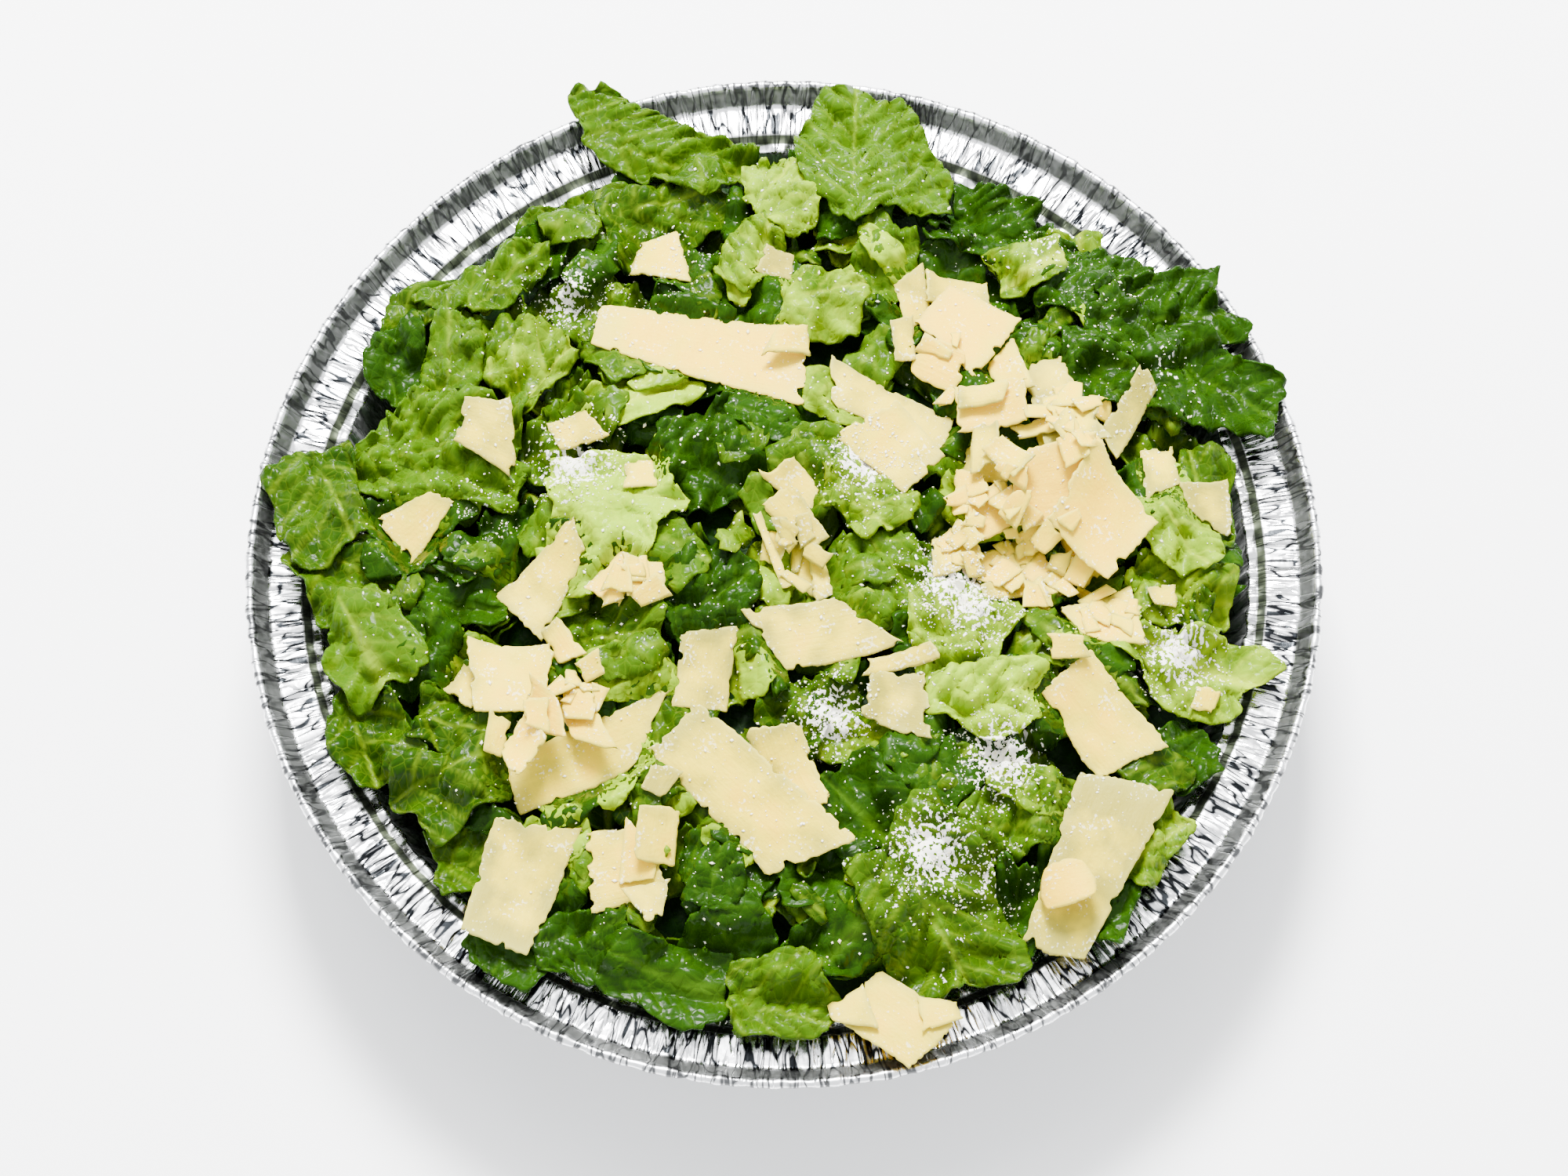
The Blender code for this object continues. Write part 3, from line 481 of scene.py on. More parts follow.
def parmesan_material(settings):
    """Hard aged cheese shaved with a blade: ivory to golden, dense, barely see-through, with crystals."""
    made, shader, add = new_material("Shaved aged parmesan")
    place, (tone, thin, powder) = add("UVMap", uv_map="shaving plan"), marks_of(add)
    cloud = add("TexNoise", {"Vector": place, "Scale": per(6.0), "Detail": 5.0})
    cloud = add("MapRange", (cloud, 0.3, 0.7, -0.22, 0.22))
    shade = add("Math", (tone, cloud), operation="ADD")
    first = add("MapRange", (shade, 0.0, 0.5))
    body = add("Mix", {0: first, 6: settings.pale, 7: settings.ivory}, 2, data_type="RGBA")
    last = add("MapRange", (shade, 0.5, 1.0))
    body = add("Mix", {0: last, 6: body, 7: settings.golden}, 2, data_type="RGBA")
    # Paler where a shaving thins out to its edge
    edge = add("Math", (thin, 0.5), operation="MULTIPLY")
    edged = add("Mix", {0: edge, 6: body, 7: linear("a8a455")}, 2, data_type="RGBA")
    # Crystals that show as small white dots
    dots = add("TexVoronoi", {"Vector": place, "Scale": per(1.6)}, "Distance")
    crystal = add("MapRange", (dots, 0.08, 0.15, 0.2, 0.0))
    flecked = add("Mix", {0: crystal, 6: edged, 7: linear("f7f2df")}, 2, data_type="RGBA")
    grain = add("TexNoise", {"Vector": place, "Scale": per(0.8), "Detail": 4.0})
    thick = add("Math", (powder, 0.2), operation="MULTIPLY")
    thick = add("Math", (grain, thick), operation="ADD")
    dust = add("MapRange", (thick, 0.7, 0.76, 0.0, 0.4))
    dusty = add("Mix", {0: dust, 6: flecked, 7: linear("f6f2e2")}, 2, data_type="RGBA")
    # Fine drag marks of the blade across the cut face
    streak = add("Mapping", {"Vector": place, "Scale": (per(9.0), per(0.7), 1.0)})
    drag = add("TexNoise", {"Vector": streak, "Scale": 1.0, "Detail": 3.0})
    parts = [add("Math", pair, operation="MULTIPLY") for pair in ((grain, 0.7), (drag, 0.6))]
    height = add("Math", parts, operation="ADD")
    look = {
        "Base Color": dusty,
        "Roughness": 0.48,
        "Normal": add("Bump", {"Strength": 0.6, "Distance": 0.3 * MM, "Height": height}),
        "IOR": 1.45,
        "Specular IOR Level": 0.08,
        "Subsurface Weight": 0.35,
        "Subsurface Radius": (1.2, 1.1, 0.6),
        "Subsurface Scale": 1.0 * MM,
    }
    connect(shader, look)
    return made


def crumb_material():
    """Parmesan grated fine: dry white grains that scatter light evenly."""
    made, shader, add = new_material("Grated parmesan")
    tint = add("Attribute", output="Fac", attribute_name="marks")
    tinted = {0: tint, 6: linear("f6f1dc"), 7: linear("ecdfae")}
    look = {
        "Base Color": add("Mix", tinted, 2, data_type="RGBA"),
        "Roughness": 0.7,
        "IOR": 1.45,
        "Subsurface Weight": 0.4,
        "Subsurface Radius": (0.8, 0.7, 0.5),
        "Subsurface Scale": 0.5 * MM,
    }
    connect(shader, look)
    return made


def foil_material(settings):
    """Rolled aluminium foil pressed into shape: bright, with sharp fine creases that catch light and dark;
    painted shade darkens its closed folds, and painted shade and reflection its bands.
    """
    made, shader, add = new_material("Pressed aluminium foil")
    place, (shaded, fold_shade, dull) = add("UVMap", uv_map="foil plan"), marks_of(add)

    def lines(width, length, detail, distortion, *ends):
        """Thin lines across the rim, where a noise of a width and length in mm crosses its middle."""
        slim = add("Mapping", {"Vector": place, "Scale": (per(width), per(length), 1.0)})
        values = {"Vector": slim, "Scale": 1.0, "Detail": detail, "Distortion": distortion}
        aside = add("Math", (add("TexNoise", values), 0.5), operation="SUBTRACT")
        return add("MapRange", (add("Math", (aside,), operation="ABSOLUTE"), *ends))

    # Painted shade: dark slashes where a fold of the foil closes on itself
    closed = lines(2.7, 12.0, 1.5, 0.6, 0.02, 0.06, 1.0, 0.0)
    closed = add("Math", (closed, fold_shade), operation="MULTIPLY")
    # Painted shade and painted reflection of the leaves: each band mixes the foil's own colour with a darker
    # olive one
    banded = add("Mix", {0: shaded, 6: settings.bright, 7: settings.shaded}, 2, data_type="RGBA")
    creased = add("Mix", {0: closed, 6: banded, 7: linear("1c1e20")}, 2, data_type="RGBA")
    # Creases run across the rim, about a millimetre apart and several long
    ridge = lines(2.6, 17.0, 2.0, 0.3, 0.0, 0.05)
    fine = add("TexNoise", {"Vector": place, "Scale": per(1.2), "Detail": 4.0})
    rough = settings.roughness
    grainy = add("MapRange", (fine, 0.35, 0.65, rough - 0.05, rough + 0.08))
    low = add("Math", (fine, 0.25), operation="MULTIPLY")
    height = add("Math", (ridge, low), operation="ADD")
    look = {
        "Base Color": creased,
        "Metallic": 1.0,
        "Roughness": add("Math", (grainy, dull), operation="ADD"),
        "Normal": add("Bump", {"Strength": 1.0, "Distance": 0.15 * MM, "Height": height}),
    }
    connect(shader, look)
    return made


def card_material(settings):
    """Matt white card: an even surface that takes a soft shadow."""
    made, shader, add = new_material("White card floor")
    connect(shader, {"Base Color": settings.card, "Roughness": 0.8})
    return made


def waves(x, y, size, seed, count=7):
    """Smooth unevenness between about -1 and 1, made of crossing waves about a size long."""
    draw = random.Random(seed)
    total = np.zeros_like(x)
    for _ in range(count):
        angle, phase = draw.uniform(0, math.tau), draw.uniform(0, math.tau)
        step = math.tau / (size * draw.uniform(0.7, 1.5))
        total += np.sin((x * math.cos(angle) + y * math.sin(angle)) * step + phase)
    return total / count**0.5


def cell_edges(x, y, size, seed):
    """How far a point is from the borders between cells about a size wide: 0 on a border, about 1 inside."""
    grid_x, grid_y = x / size, y / size
    column, row = np.floor(grid_x), np.floor(grid_y)
    nearest, second = np.full(x.shape, 9.0), np.full(x.shape, 9.0)
    for i in (-1, 0, 1):
        for j in (-1, 0, 1):
            left, low = column + i, row + j
            shift_x = np.sin(left * 127.1 + low * 311.7 + seed * 74.7) * 43758.5
            shift_y = np.sin(left * 269.5 + low * 183.3 + seed * 19.3) * 28001.8
            away_x = grid_x - left - (shift_x - np.floor(shift_x))
            away_y = grid_y - low - (shift_y - np.floor(shift_y))
            away = np.hypot(away_x, away_y)
            second = np.minimum(second, np.maximum(nearest, away))
            nearest = np.minimum(nearest, away)
    return np.clip((second - nearest) / 0.6, 0, 1)


def eased(low, high, value):
    """A share that goes from 0 to 1 between two values, without a corner at either."""
    share = np.clip((value - low) / (high - low), 0, 1)
    return share * share * (3 - 2 * share)


class Growing:
    """A mesh that pieces are added to, with marks and a plan position at each point."""

    def __init__(self):
        self.points, self.faces, self.marks, self.plans = [], [], [], []
        self.count = 0

    def add(self, points, faces, marks, plan):
        self.points.append(points)
        self.faces.extend((faces + self.count).tolist())
        self.marks.append(marks)
        self.plans.append(plan)
        self.count += len(points)

    def finish(self, name, material, plan_name):
        mesh = bpy.data.meshes.new(name)
        points = np.concatenate(self.points) * MM
        mesh.from_pydata(points.tolist(), [], self.faces)
        mesh.materials.append(material)
        colours = mesh.color_attributes.new("marks", "FLOAT_COLOR", "POINT")
        marks = np.concatenate(self.marks)
        colours.data.foreach_set("color", np.column_stack([marks, np.ones(len(marks))]).ravel())
        corners = np.empty(len(mesh.loops), dtype=np.int64)
        mesh.loops.foreach_get("vertex_index", corners)
        plan = mesh.uv_layers.new(name=plan_name)
        plan.data.foreach_set("uv", (np.concatenate(self.plans)[corners] * PLAN_SCALE).ravel())
        mesh.polygons.foreach_set("use_smooth", np.ones(len(mesh.polygons), dtype=bool))
        made = bpy.data.objects.new(name, mesh)
        bpy.context.scene.collection.objects.link(made)
        return made


def unit_grid(rows, columns, roundness):
    """Places from -1 to 1 along and across, with the corners drawn in towards a disc."""
    u, v = np.meshgrid(np.linspace(-1, 1, rows), np.linspace(-1, 1, columns), indexing="ij")
    return u * np.sqrt(1 - roundness * v * v), v * np.sqrt(1 - roundness * u * u)


def place_near(x, y, reach, power, draw):
    """A place within reach of another, nearer to it for a higher power."""
    away, angle = reach * draw.random() ** power, draw.uniform(0, math.tau)
    return x + away * math.cos(angle), y + away * math.sin(angle)


def sheet_faces(rows, columns):
    """Quads of a closed sheet whose upper points come first, with its lower points in the same order."""
    index = np.arange(rows * columns).reshape(rows, columns)
    a, b, c, d = index[:-1, :-1], index[1:, :-1], index[1:, 1:], index[:-1, 1:]
    upper = np.stack([a, b, c, d], -1).reshape(-1, 4)
    under = upper[:, ::-1] + rows * columns
    rim = np.concatenate([index[:-1, 0], index[-1, :-1], index[:0:-1, -1], index[0, :0:-1]])
    after = np.roll(rim, -1)
    side = np.stack([rim, rim + rows * columns, after + rows * columns, after], -1)
    return np.concatenate([upper, under, side])


def ring_faces(rings, steps):
    """Quads between closed rings of points that follow each other."""
    index = np.arange(rings * steps).reshape(rings, steps)
    after = np.roll(index, -1, axis=1)
    return np.stack([index[:-1], index[1:], after[1:], after[:-1]], -1).reshape(-1, 4)


def sheet_points(middle, thickness):
    """Upper and lower points of a sheet about its middle grid of points."""
    along, across = np.gradient(middle, axis=0), np.gradient(middle, axis=1)
    normal = np.cross(along, across)
    normal /= np.maximum(np.linalg.norm(normal, axis=2, keepdims=True), 1e-9)
    half = normal * np.asarray(thickness)[..., None] / 2
    return np.concatenate([(middle + half).reshape(-1, 3), (middle - half).reshape(-1, 3)])


# Height maps


def cell_of(x, y):
    """The cell of a height map that a place is in."""
    column = np.clip(np.rint(x + MAP_HALF).astype(int), 0, 2 * MAP_HALF)
    row = np.clip(np.rint(y + MAP_HALF).astype(int), 0, 2 * MAP_HALF)
    return column, row


def raise_map(heights, points):
    """Records the tops of a sheet's points, spread by one cell so that no gap is left."""
    column, row = cell_of(points[:, 0], points[:, 1])
    for i in (-1, 0, 1):
        for j in (-1, 0, 1):
            spot = (np.clip(column + i, 0, 2 * MAP_HALF), np.clip(row + j, 0, 2 * MAP_HALF))
            np.maximum.at(heights, spot, points[:, 2] - 0.25 * (abs(i) + abs(j)))


def spots_of(made):
    """The points of a piece's mesh in millimetres."""
    return [vertex.co / MM for vertex in made.data.vertices]


def tree_of(made):
    """A tree of a piece's mesh in millimetres."""
    return BVHTree.FromPolygons(spots_of(made), [tuple(face.vertices) for face in made.data.polygons])


def packed(shaving):
    """The CAD node of a shaving."""
    return frame["nodes"][f"shaving_{shaving.name}"]


def ceiling_map():
    """How high the lettuce may rise under and beside each shaving."""
    ceiling = np.full((MAP_SIZE, MAP_SIZE), OPEN_SKY)
    for shaving in SHAVINGS:
        tree, spots = tree_of(packed(shaving)), np.array(spots_of(packed(shaving)))
        low, high = np.floor(spots.min(0)).astype(int), np.ceil(spots.max(0)).astype(int)
        for x in range(low[0], high[0] + 1):
            for y in range(low[1], high[1] + 1):
                hit = tree.ray_cast(Vector((x, y, 0)), Vector((0, 0, 1)))[0]
                if hit:
                    spot = (x + MAP_HALF, y + MAP_HALF)
                    ceiling[spot] = min(ceiling[spot], hit.z)
    for _ in range(CEILING_SPREAD):
        for axis in (0, 1):
            for step in (-1, 1):
                ceiling = np.minimum(ceiling, np.roll(ceiling, step, axis) + CEILING_SLOPE)
    return ceiling


# The lettuce


def heap_height(x, y):
    """The height of the heap's rounded top, without its leaves."""
    share = np.minimum(1.0, np.hypot(x, y) / HEAP_RADIUS)
    return HEAP_EDGE_HEIGHT + HEAP_RISE * (1 - share * share) ** 0.8


def rim_limit(x, y):
    """The lowest that the middle of a leaf may lie where it crosses the rim of the pan."""
    radius = np.hypot(x, y)
    limit = PAN_HEIGHT + RIM_GAP - RIM_DROP * (1 - eased(RIM_RAMP_START, LEDGE_INNER, radius))
    return np.where(radius < RIM_RAMP_START, 0.0, limit)


def leaf_veins(along, across, leaf, draw):
    """The veins, the midrib, and the puffed cells that lie between the side veins on both sides of it."""
    lean, shift = draw.uniform(-0.35, 0.35), draw.uniform(-0.2, 0.2) * leaf.width
    off = across - shift - along * lean
    taper = np.clip(0.55 + along / leaf.length, 0.15, 1.0)
    width = (2.1 if leaf.rib else 0.6) * taper
    rib = np.exp(-((off / width) ** 2)) * (1.0 if leaf.rib else 0.7)
    slant = along - np.abs(off) * 0.8 + 0.8 * np.sin(off * 0.4)
    spread = slant / draw.uniform(6.0, 8.0)
    near = np.abs(spread - np.rint(spread)) * 7.0
    side = np.exp(-((near / 0.4) ** 2)) * eased(0.0, 1.5, np.abs(off)) * 0.45
    size = draw.uniform(3.6, 5.2)
    edges = cell_edges(slant + draw.uniform(0, 90), off / 1.6 + np.sign(off) * 40, size, draw.randrange(13))
    return np.maximum(rib, side), rib, edges, off


def cut_edge(angle, draw):
    """How far the border of a torn and chopped piece lies, as a share, in each direction."""
    reach = np.ones_like(angle)
    for _ in range(draw.choice((2, 2, 3, 4))):
        facing, cut = draw.uniform(0, math.tau), draw.uniform(0.74, 0.92)
        towards = np.maximum(np.cos(angle - facing), 0.05)
        reach = np.minimum(reach, cut / towards)
    return reach


def leaf_border(angle, reach, phases, seed):
    """How far a leaf piece is drawn out at each point: lobes, a torn fringe, fine teeth and chopped cuts."""
    edge = 1.03 + 0.07 * np.sin(3 * angle + phases[0]) + 0.06 * np.sin(5 * angle + phases[1])
    around = (np.cos(angle) * 9, np.sin(angle) * 9)
    fringe, teeth = waves(*around, 5.5, seed + 5), waves(*around, 2.4, seed + 6)
    cut = 1 + (cut_edge(angle, random.Random(seed)) - 1) * reach**2
    return edge * (1 + (0.035 * fringe + 0.018 * teeth) * reach**4) * cut, fringe


def laid_over(z, below):
    """A piece lifted off what lies below, first as a whole and then where it still has to bend."""
    need = np.maximum(0.0, below + GROUND_GAP - z)
    rigid = min(WHOLE_LIFT, float(np.percentile(need, 60)))
    rest = np.maximum(0.0, need - rigid)
    rows, columns = z.shape
    for _ in range(3):
        padded = np.pad(rest, 1, mode="edge")
        rest = sum(padded[i : i + rows, j : j + columns] for i in range(3) for j in range(3)) / 9
    return np.maximum(z + rigid + rest, below - GROUND_GAP)


def leaf_sheet(leaf, number, spacing, ground, ceiling, thickness, tilt):
    """The points, faces, marks and plan of one crinkled leaf piece, laid over the ground below it."""
    draw = random.Random(1000 + number)
    phases = [draw.uniform(0, math.tau) for _ in range(4)]
    pitch, roll = draw.uniform(-0.24, 0.24) * tilt, draw.uniform(-0.3, 0.3) * tilt
    cup, arch = draw.uniform(-2.5, 2.5), draw.uniform(-2.0, 2.0)
    seed = number * 7 + 11
    rows, columns = max(7, int(leaf.length / spacing)), max(6, int(leaf.width / spacing))
    disc_u, disc_v = unit_grid(rows, columns, roundness=0.3)
    angle, reach = np.arctan2(disc_v, disc_u), np.minimum(1.2, np.hypot(disc_u, disc_v))
    edge, fringe = leaf_border(angle, reach, phases, seed)
    along, across = disc_u * edge * leaf.length / 2, disc_v * edge * leaf.width / 2
    turn = math.radians(leaf.turn)
    middle_y = leaf.y - (float(heap_height(leaf.x, leaf.y)) - PAN_HEIGHT) * SIGHT_LEAN
    x = leaf.x + along * math.cos(turn) - across * math.sin(turn)
    y = middle_y + along * math.sin(turn) + across * math.cos(turn)
    lift = along * pitch + across * roll + cup * disc_v**2 + arch * disc_u**2 - (cup + arch) / 3
    lift += 1.3 * reach**2 * np.sin(4 * angle + phases[2]) + 0.8 * reach * np.sin(7 * angle + phases[3])
    z = heap_height(x, y) - 0.8 + leaf.layer * LAYER_RISE + lift
    # Puffs between the veins, soft folds, a bend along the midrib, and a ruffled margin
    form = random.Random(seed + 2)
    veins, rib, cells, off = leaf_veins(along, across, leaf, form)
    dome = np.sqrt(1 - (1 - cells) ** 2)
    fullness = 0.75 + 0.3 * waves(along, across, 9.0, seed + 6)
    relief = PUFF_HEIGHT * leaf.crinkle * dome * (1 - 0.7 * rib) * fullness
    z -= PUFF_SINK * leaf.crinkle
    z += (0.6 + 0.5 * leaf.crinkle) * waves(along, across, 11.0, seed + 1)
    z += form.uniform(0.1, 0.4) * form.choice((1, -1)) * tilt * (np.abs(off) - leaf.width / 4)
    turns = max(3, round(0.26 * leaf.length))
    z += (0.45 + 0.85 * leaf.crinkle) * reach**4 * np.sin(turns * angle + 1.6 * fringe)
    z -= 0.5 * rib
    # Laid on what is below, pressed into the heap, held over the rim and kept below the shavings
    cell = cell_of(x, y)
    z = laid_over(z, ground[cell])
    z -= 0.75 * np.maximum(0.0, z - heap_height(x, y) - TOP_RISE - TOP_STEP * leaf.layer)
    z = np.maximum(z, rim_limit(x, y)) + relief
    z = np.minimum(z, ceiling[cell] - CEILING_GAP)
    points = sheet_points(np.stack([x, y, z], -1), thickness)
    shown = np.maximum(0.8 * veins, 0.12 * (1 - eased(0.0, 0.25, cells)))
    # Painted shade and light: the tone is lower in the creases between the puffs and higher on their crests
    tone = leaf.tone + 0.15 * waves(along, across, 12.0, seed + 3) + 0.25 * rib + 0.55 * (dome - 0.7)
    patch = np.maximum(leaf.powder * 0.3 * (1 + waves(along, across, 10.0, seed + 4)), dusting(x, y))
    marks = np.stack([tone, shown, np.clip(patch, 0, 1.2)], -1).reshape(-1, 3)
    # Each piece is cut from another part of the pattern
    plan = np.stack([along + (seed * 37) % 400, across + (seed * 61) % 300], -1).reshape(-1, 2)
    raise_map(ground, points[: rows * columns])
    return points, sheet_faces(rows, columns), np.concatenate([marks, marks]), np.concatenate([plan, plan])


def dusting(x, y):
    """How thickly the finest grated cheese lies at a place, from 0 to 1."""
    total = np.zeros_like(x)
    for patch_x, patch_y, reach, count in CRUMB_PATCHES[:-1]:
        thick = min(1.1, count / 450)
        total = np.maximum(total, thick - np.hypot(x - patch_x, y - patch_y) / reach)
    return total


def small_leaf(draw, layer, reach):
    """A small piece of leaf somewhere in the heap."""
    x, y = place_near(0, 0, reach, 0.5, draw)
    y += (float(heap_height(x, y)) - PAN_HEIGHT) * SIGHT_LEAN
    length = draw.uniform(9, 19)
    tone = draw.choice((0.1, 0.15, 0.2, 0.3, 0.4, 0.5, 0.6, 0.75))
    width = length * draw.uniform(0.35, 0.8)
    return Leaf(x, y, length, width, draw.uniform(0, 360), layer, tone, draw.uniform(0.6, 1.6), 0.15, 0)


def build_core(material):
    """The inside of the heap that shows in the gaps between leaves, in dark greens that are painted shade."""
    rings, steps = 60, 220
    radii = np.concatenate([np.linspace(0.01, CORE_RADIUS, rings), [CORE_RADIUS, 87.0, 80.0]])
    angles = np.linspace(0, math.tau, steps, endpoint=False)
    radius, angle = np.meshgrid(radii, angles, indexing="ij")
    x, y = radius * np.cos(angle), radius * np.sin(angle)
    z = heap_height(x, y) - CORE_DEPTH - 6.0 * (radius / 94.5) ** 6
    z += 1.6 * eased(0, 0.8, cell_edges(x, y, 8.0, 5)) + 0.9 * waves(x, y, 15.0, 77)
    # The two lowest rings close the heap down to the base of the pan
    z[-2], z[-1] = 12.0, 1.2
    grown = Growing()
    points = np.stack([x, y, z], -1).reshape(-1, 3)
    marks = np.stack([0.05 + 0.1 * waves(x, y, 9.0, 3), 0 * x, 0 * x], -1).reshape(-1, 3)
    grown.add(points, ring_faces(*radius.shape), marks, points[:, :2])
    return grown.finish("lettuce_inside_heap", material, "leaf plan")


class SALAD_OT_lettuce(bpy.types.Operator):
    """Lays the leaf pieces in the pan, the small ones of the lower layers first"""

    bl_idname = "salad.lettuce"
    bl_label = "Lettuce"

    def execute(self, context):
        settings = context.scene.salad_lettuce
        kinds = (
            ("outer_leaf_pieces", "Outer cos leaf", "0d2201", settings.outer, "345208"),
            ("middle_leaf_pieces", "Middle cos leaf", "152e01", settings.middle, "6c8410"),
            ("heart_leaf_pieces", "Heart cos leaf", "2c4a00", settings.heart, "96a810"),
        )
        grown = [Growing() for _ in kinds]
        ceiling = ceiling_map()
        ground = np.zeros((MAP_SIZE, MAP_SIZE))
        draw = random.Random(41)
        order = [(small_leaf(draw, -0.6, 93), 3000 + i, 1.9) for i in range(settings.under_pieces)]
        low = [(leaf, i, 1.0) for i, leaf in enumerate(LEAVES) if leaf.layer < 2]
        high = [(leaf, i, 1.0) for i, leaf in enumerate(LEAVES) if leaf.layer == 2]
        between = [(small_leaf(draw, 0.6, 91), 4000 + i, 2.4) for i in range(settings.over_pieces)]
        order += low + between + high
        for leaf, number, tilt in order:
            kind = sum(leaf.tone >= spread[0] for spread in TONE_SPREADS[1:])
            low_tone, high_tone = TONE_SPREADS[kind]
            local = leaf._replace(tone=(leaf.tone - low_tone) / (high_tone - low_tone))
            spacing = settings.spacing * (1.0 if number < 3000 else 1.45)
            grown[kind].add(*leaf_sheet(local, number, spacing, ground, ceiling, settings.thickness, tilt))
        pieces = []
        for mesh, (name, leaf_name, deep, fresh, vein) in zip(grown, kinds):
            material = leaf_material(leaf_name, linear(deep), fresh, linear(vein), LEAF_WAX)
            pieces.append(mesh.finish(name, material, "leaf plan"))
        # Painted shade: the heap's inside gets greens darker than any leaf's, for the shade in the gaps
        shaded = [linear(code) for code in ("091d03", "143404", "24440a")]
        pieces.append(build_core(leaf_material("Shaded cos leaf", *shaded, 0.5)))
        for piece in pieces:
            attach(piece, "root")
            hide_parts("lettuce_heap")
        return {"FINISHED"}


# The parmesan


def shaving_cells(shaving):
    """How many cells the CAD's shaving is split into along and across."""
    if shaving.length >= 22.0:
        return 4, 2
    return (3, 2) if shaving.length >= 13.5 else (2, 2)


def between_cells(values, u, v):
    """Values of a coarse grid read at points from -1 to 1."""
    cells_u, cells_v = values.shape[0] - 1, values.shape[1] - 1
    at_u, at_v = (u + 1) / 2 * cells_u, (v + 1) / 2 * cells_v
    low_u = np.minimum(at_u.astype(int), cells_u - 1)
    low_v = np.minimum(at_v.astype(int), cells_v - 1)
    part_u, part_v = at_u - low_u, at_v - low_v
    near = values[low_u, low_v] * (1 - part_v) + values[low_u, low_v + 1] * part_v
    far = values[low_u + 1, low_v] * (1 - part_v) + values[low_u + 1, low_v + 1] * part_v
    return near * (1 - part_u) + far * part_u


def shaving_bend(shaving, middle_y):
    """Coefficients of the CAD shaving's upper face over (1, x, y, along squared)."""
    tops = {}
    for x, y, z in np.array(spots_of(packed(shaving))):
        spot = (round(x, 2), round(y, 2))
        tops[spot] = max(z, tops.get(spot, 0.0))
    turn = math.radians(shaving.turn)
    places = np.array(list(tops))
    x, y = places[:, 0] - shaving.x, places[:, 1] - middle_y
    along = x * math.cos(turn) + y * math.sin(turn)
    rows = np.stack([np.ones_like(x), x, y, along**2], -1)
    return np.linalg.lstsq(rows, np.array(list(tops.values())), rcond=None)[0]


def torn(place, side, seed):
    """How far a border is broken back at a place along it, in mm: a fine tooth and now and then a bite."""
    fine = waves(place, 40 * side, 1.8, seed)
    bite = eased(0.5, 1.5, waves(place, 40 * side, 4.5, seed + 1))
    return 0.16 + 0.16 * fine + 1.8 * bite


def shaving_plan(shaving, index, spacing):
    """Where the points of one shaving lie in its own plane: cut along its sides and torn at its ends."""
    cells_u, cells_v = shaving_cells(shaving)
    draw = random.Random(500 + index)
    coarse = np.empty((cells_u + 1, cells_v + 1, 2))
    for spot in np.ndindex(cells_u + 1, cells_v + 1):
        coarse[spot] = draw.uniform(-0.08, 0.04), draw.uniform(-0.06, 0.03)
    rows, columns = max(8, int(shaving.length / spacing)), max(5, int(shaving.width / spacing))
    u, v = unit_grid(rows, columns, 0.38 if shaving.name.endswith("round") else 0.0)
    nick, tear = between_cells(coarse[..., 0], u, v), between_cells(coarse[..., 1], u, v)
    width = shaving.width * (1 + shaving.taper * u) / 2
    across = v * width * (1 + nick * np.abs(v))
    along = u * shaving.length / 2 * (1 + tear * np.abs(u) ** 3)
    lean = np.tan(np.radians(np.where(u < 0, shaving.start_slant, shaving.end_slant)))
    along = along - across * lean * np.abs(u)
    share = min(1.0, shaving.width / 9)
    end = torn(across, np.sign(u), index * 3 + 60) * share
    side = torn(along, np.sign(v), index * 3 + 900) * share * 0.6
    along = along - np.sign(u) * np.abs(u) ** 10 * end
    across = across - np.sign(v) * np.abs(v) ** 10 * side
    return u, v, along, across


def shaving_sheet(shaving, index, spacing, height, full=SHAVING_THICKNESS):
    """The points, faces, marks and plan of one shaving, whose middle has a height given by a function."""
    u, v, along, across = shaving_plan(shaving, index, spacing)
    turn = math.radians(shaving.turn)
    middle_y = shaving.y - (float(heap_height(shaving.x, shaving.y)) + 3 - PAN_HEIGHT) * SIGHT_LEAN
    dx = along * math.cos(turn) - across * math.sin(turn)
    dy = along * math.sin(turn) + across * math.cos(turn)
    border = np.maximum(np.abs(u), np.abs(v))
    thickness = full * (0.85 - 0.3 * border**8 + 0.08 * waves(along, across, 5.0, index + 7))
    middle = height(shaving, middle_y, dx, dy, along) + 0.12 * waves(along, across, 7.0, index + 17)
    points = sheet_points(np.stack([shaving.x + dx, middle_y + dy, middle], -1), thickness)
    draw = random.Random(index + 300)
    drift = draw.uniform(-0.2, 0.2) * u + draw.uniform(-0.12, 0.12) * v
    tone = shaving.tone + drift + 0.1 * waves(along, across, 9.0, index + 27)
    tone = tone + 0.35 * (0.5 - border**2)
    patch = np.clip(0.25 + 0.4 * waves(along, across, 8.0, index + 37), 0, 1)
    marks = np.stack([tone, border**6, patch], -1).reshape(-1, 3)
    plan = np.stack([along + index * 50, across + index * 20], -1).reshape(-1, 2)
    return points, sheet_faces(*u.shape), np.concatenate([marks, marks]), np.concatenate([plan, plan])


def as_packed(shaving, middle_y, dx, dy, along):
    """The height of the middle of a shaving that the CAD has."""
    bend = shaving_bend(shaving, middle_y)
    return bend[0] + bend[1] * dx + bend[2] * dy + bend[3] * along**2 - SHAVING_THICKNESS / 2


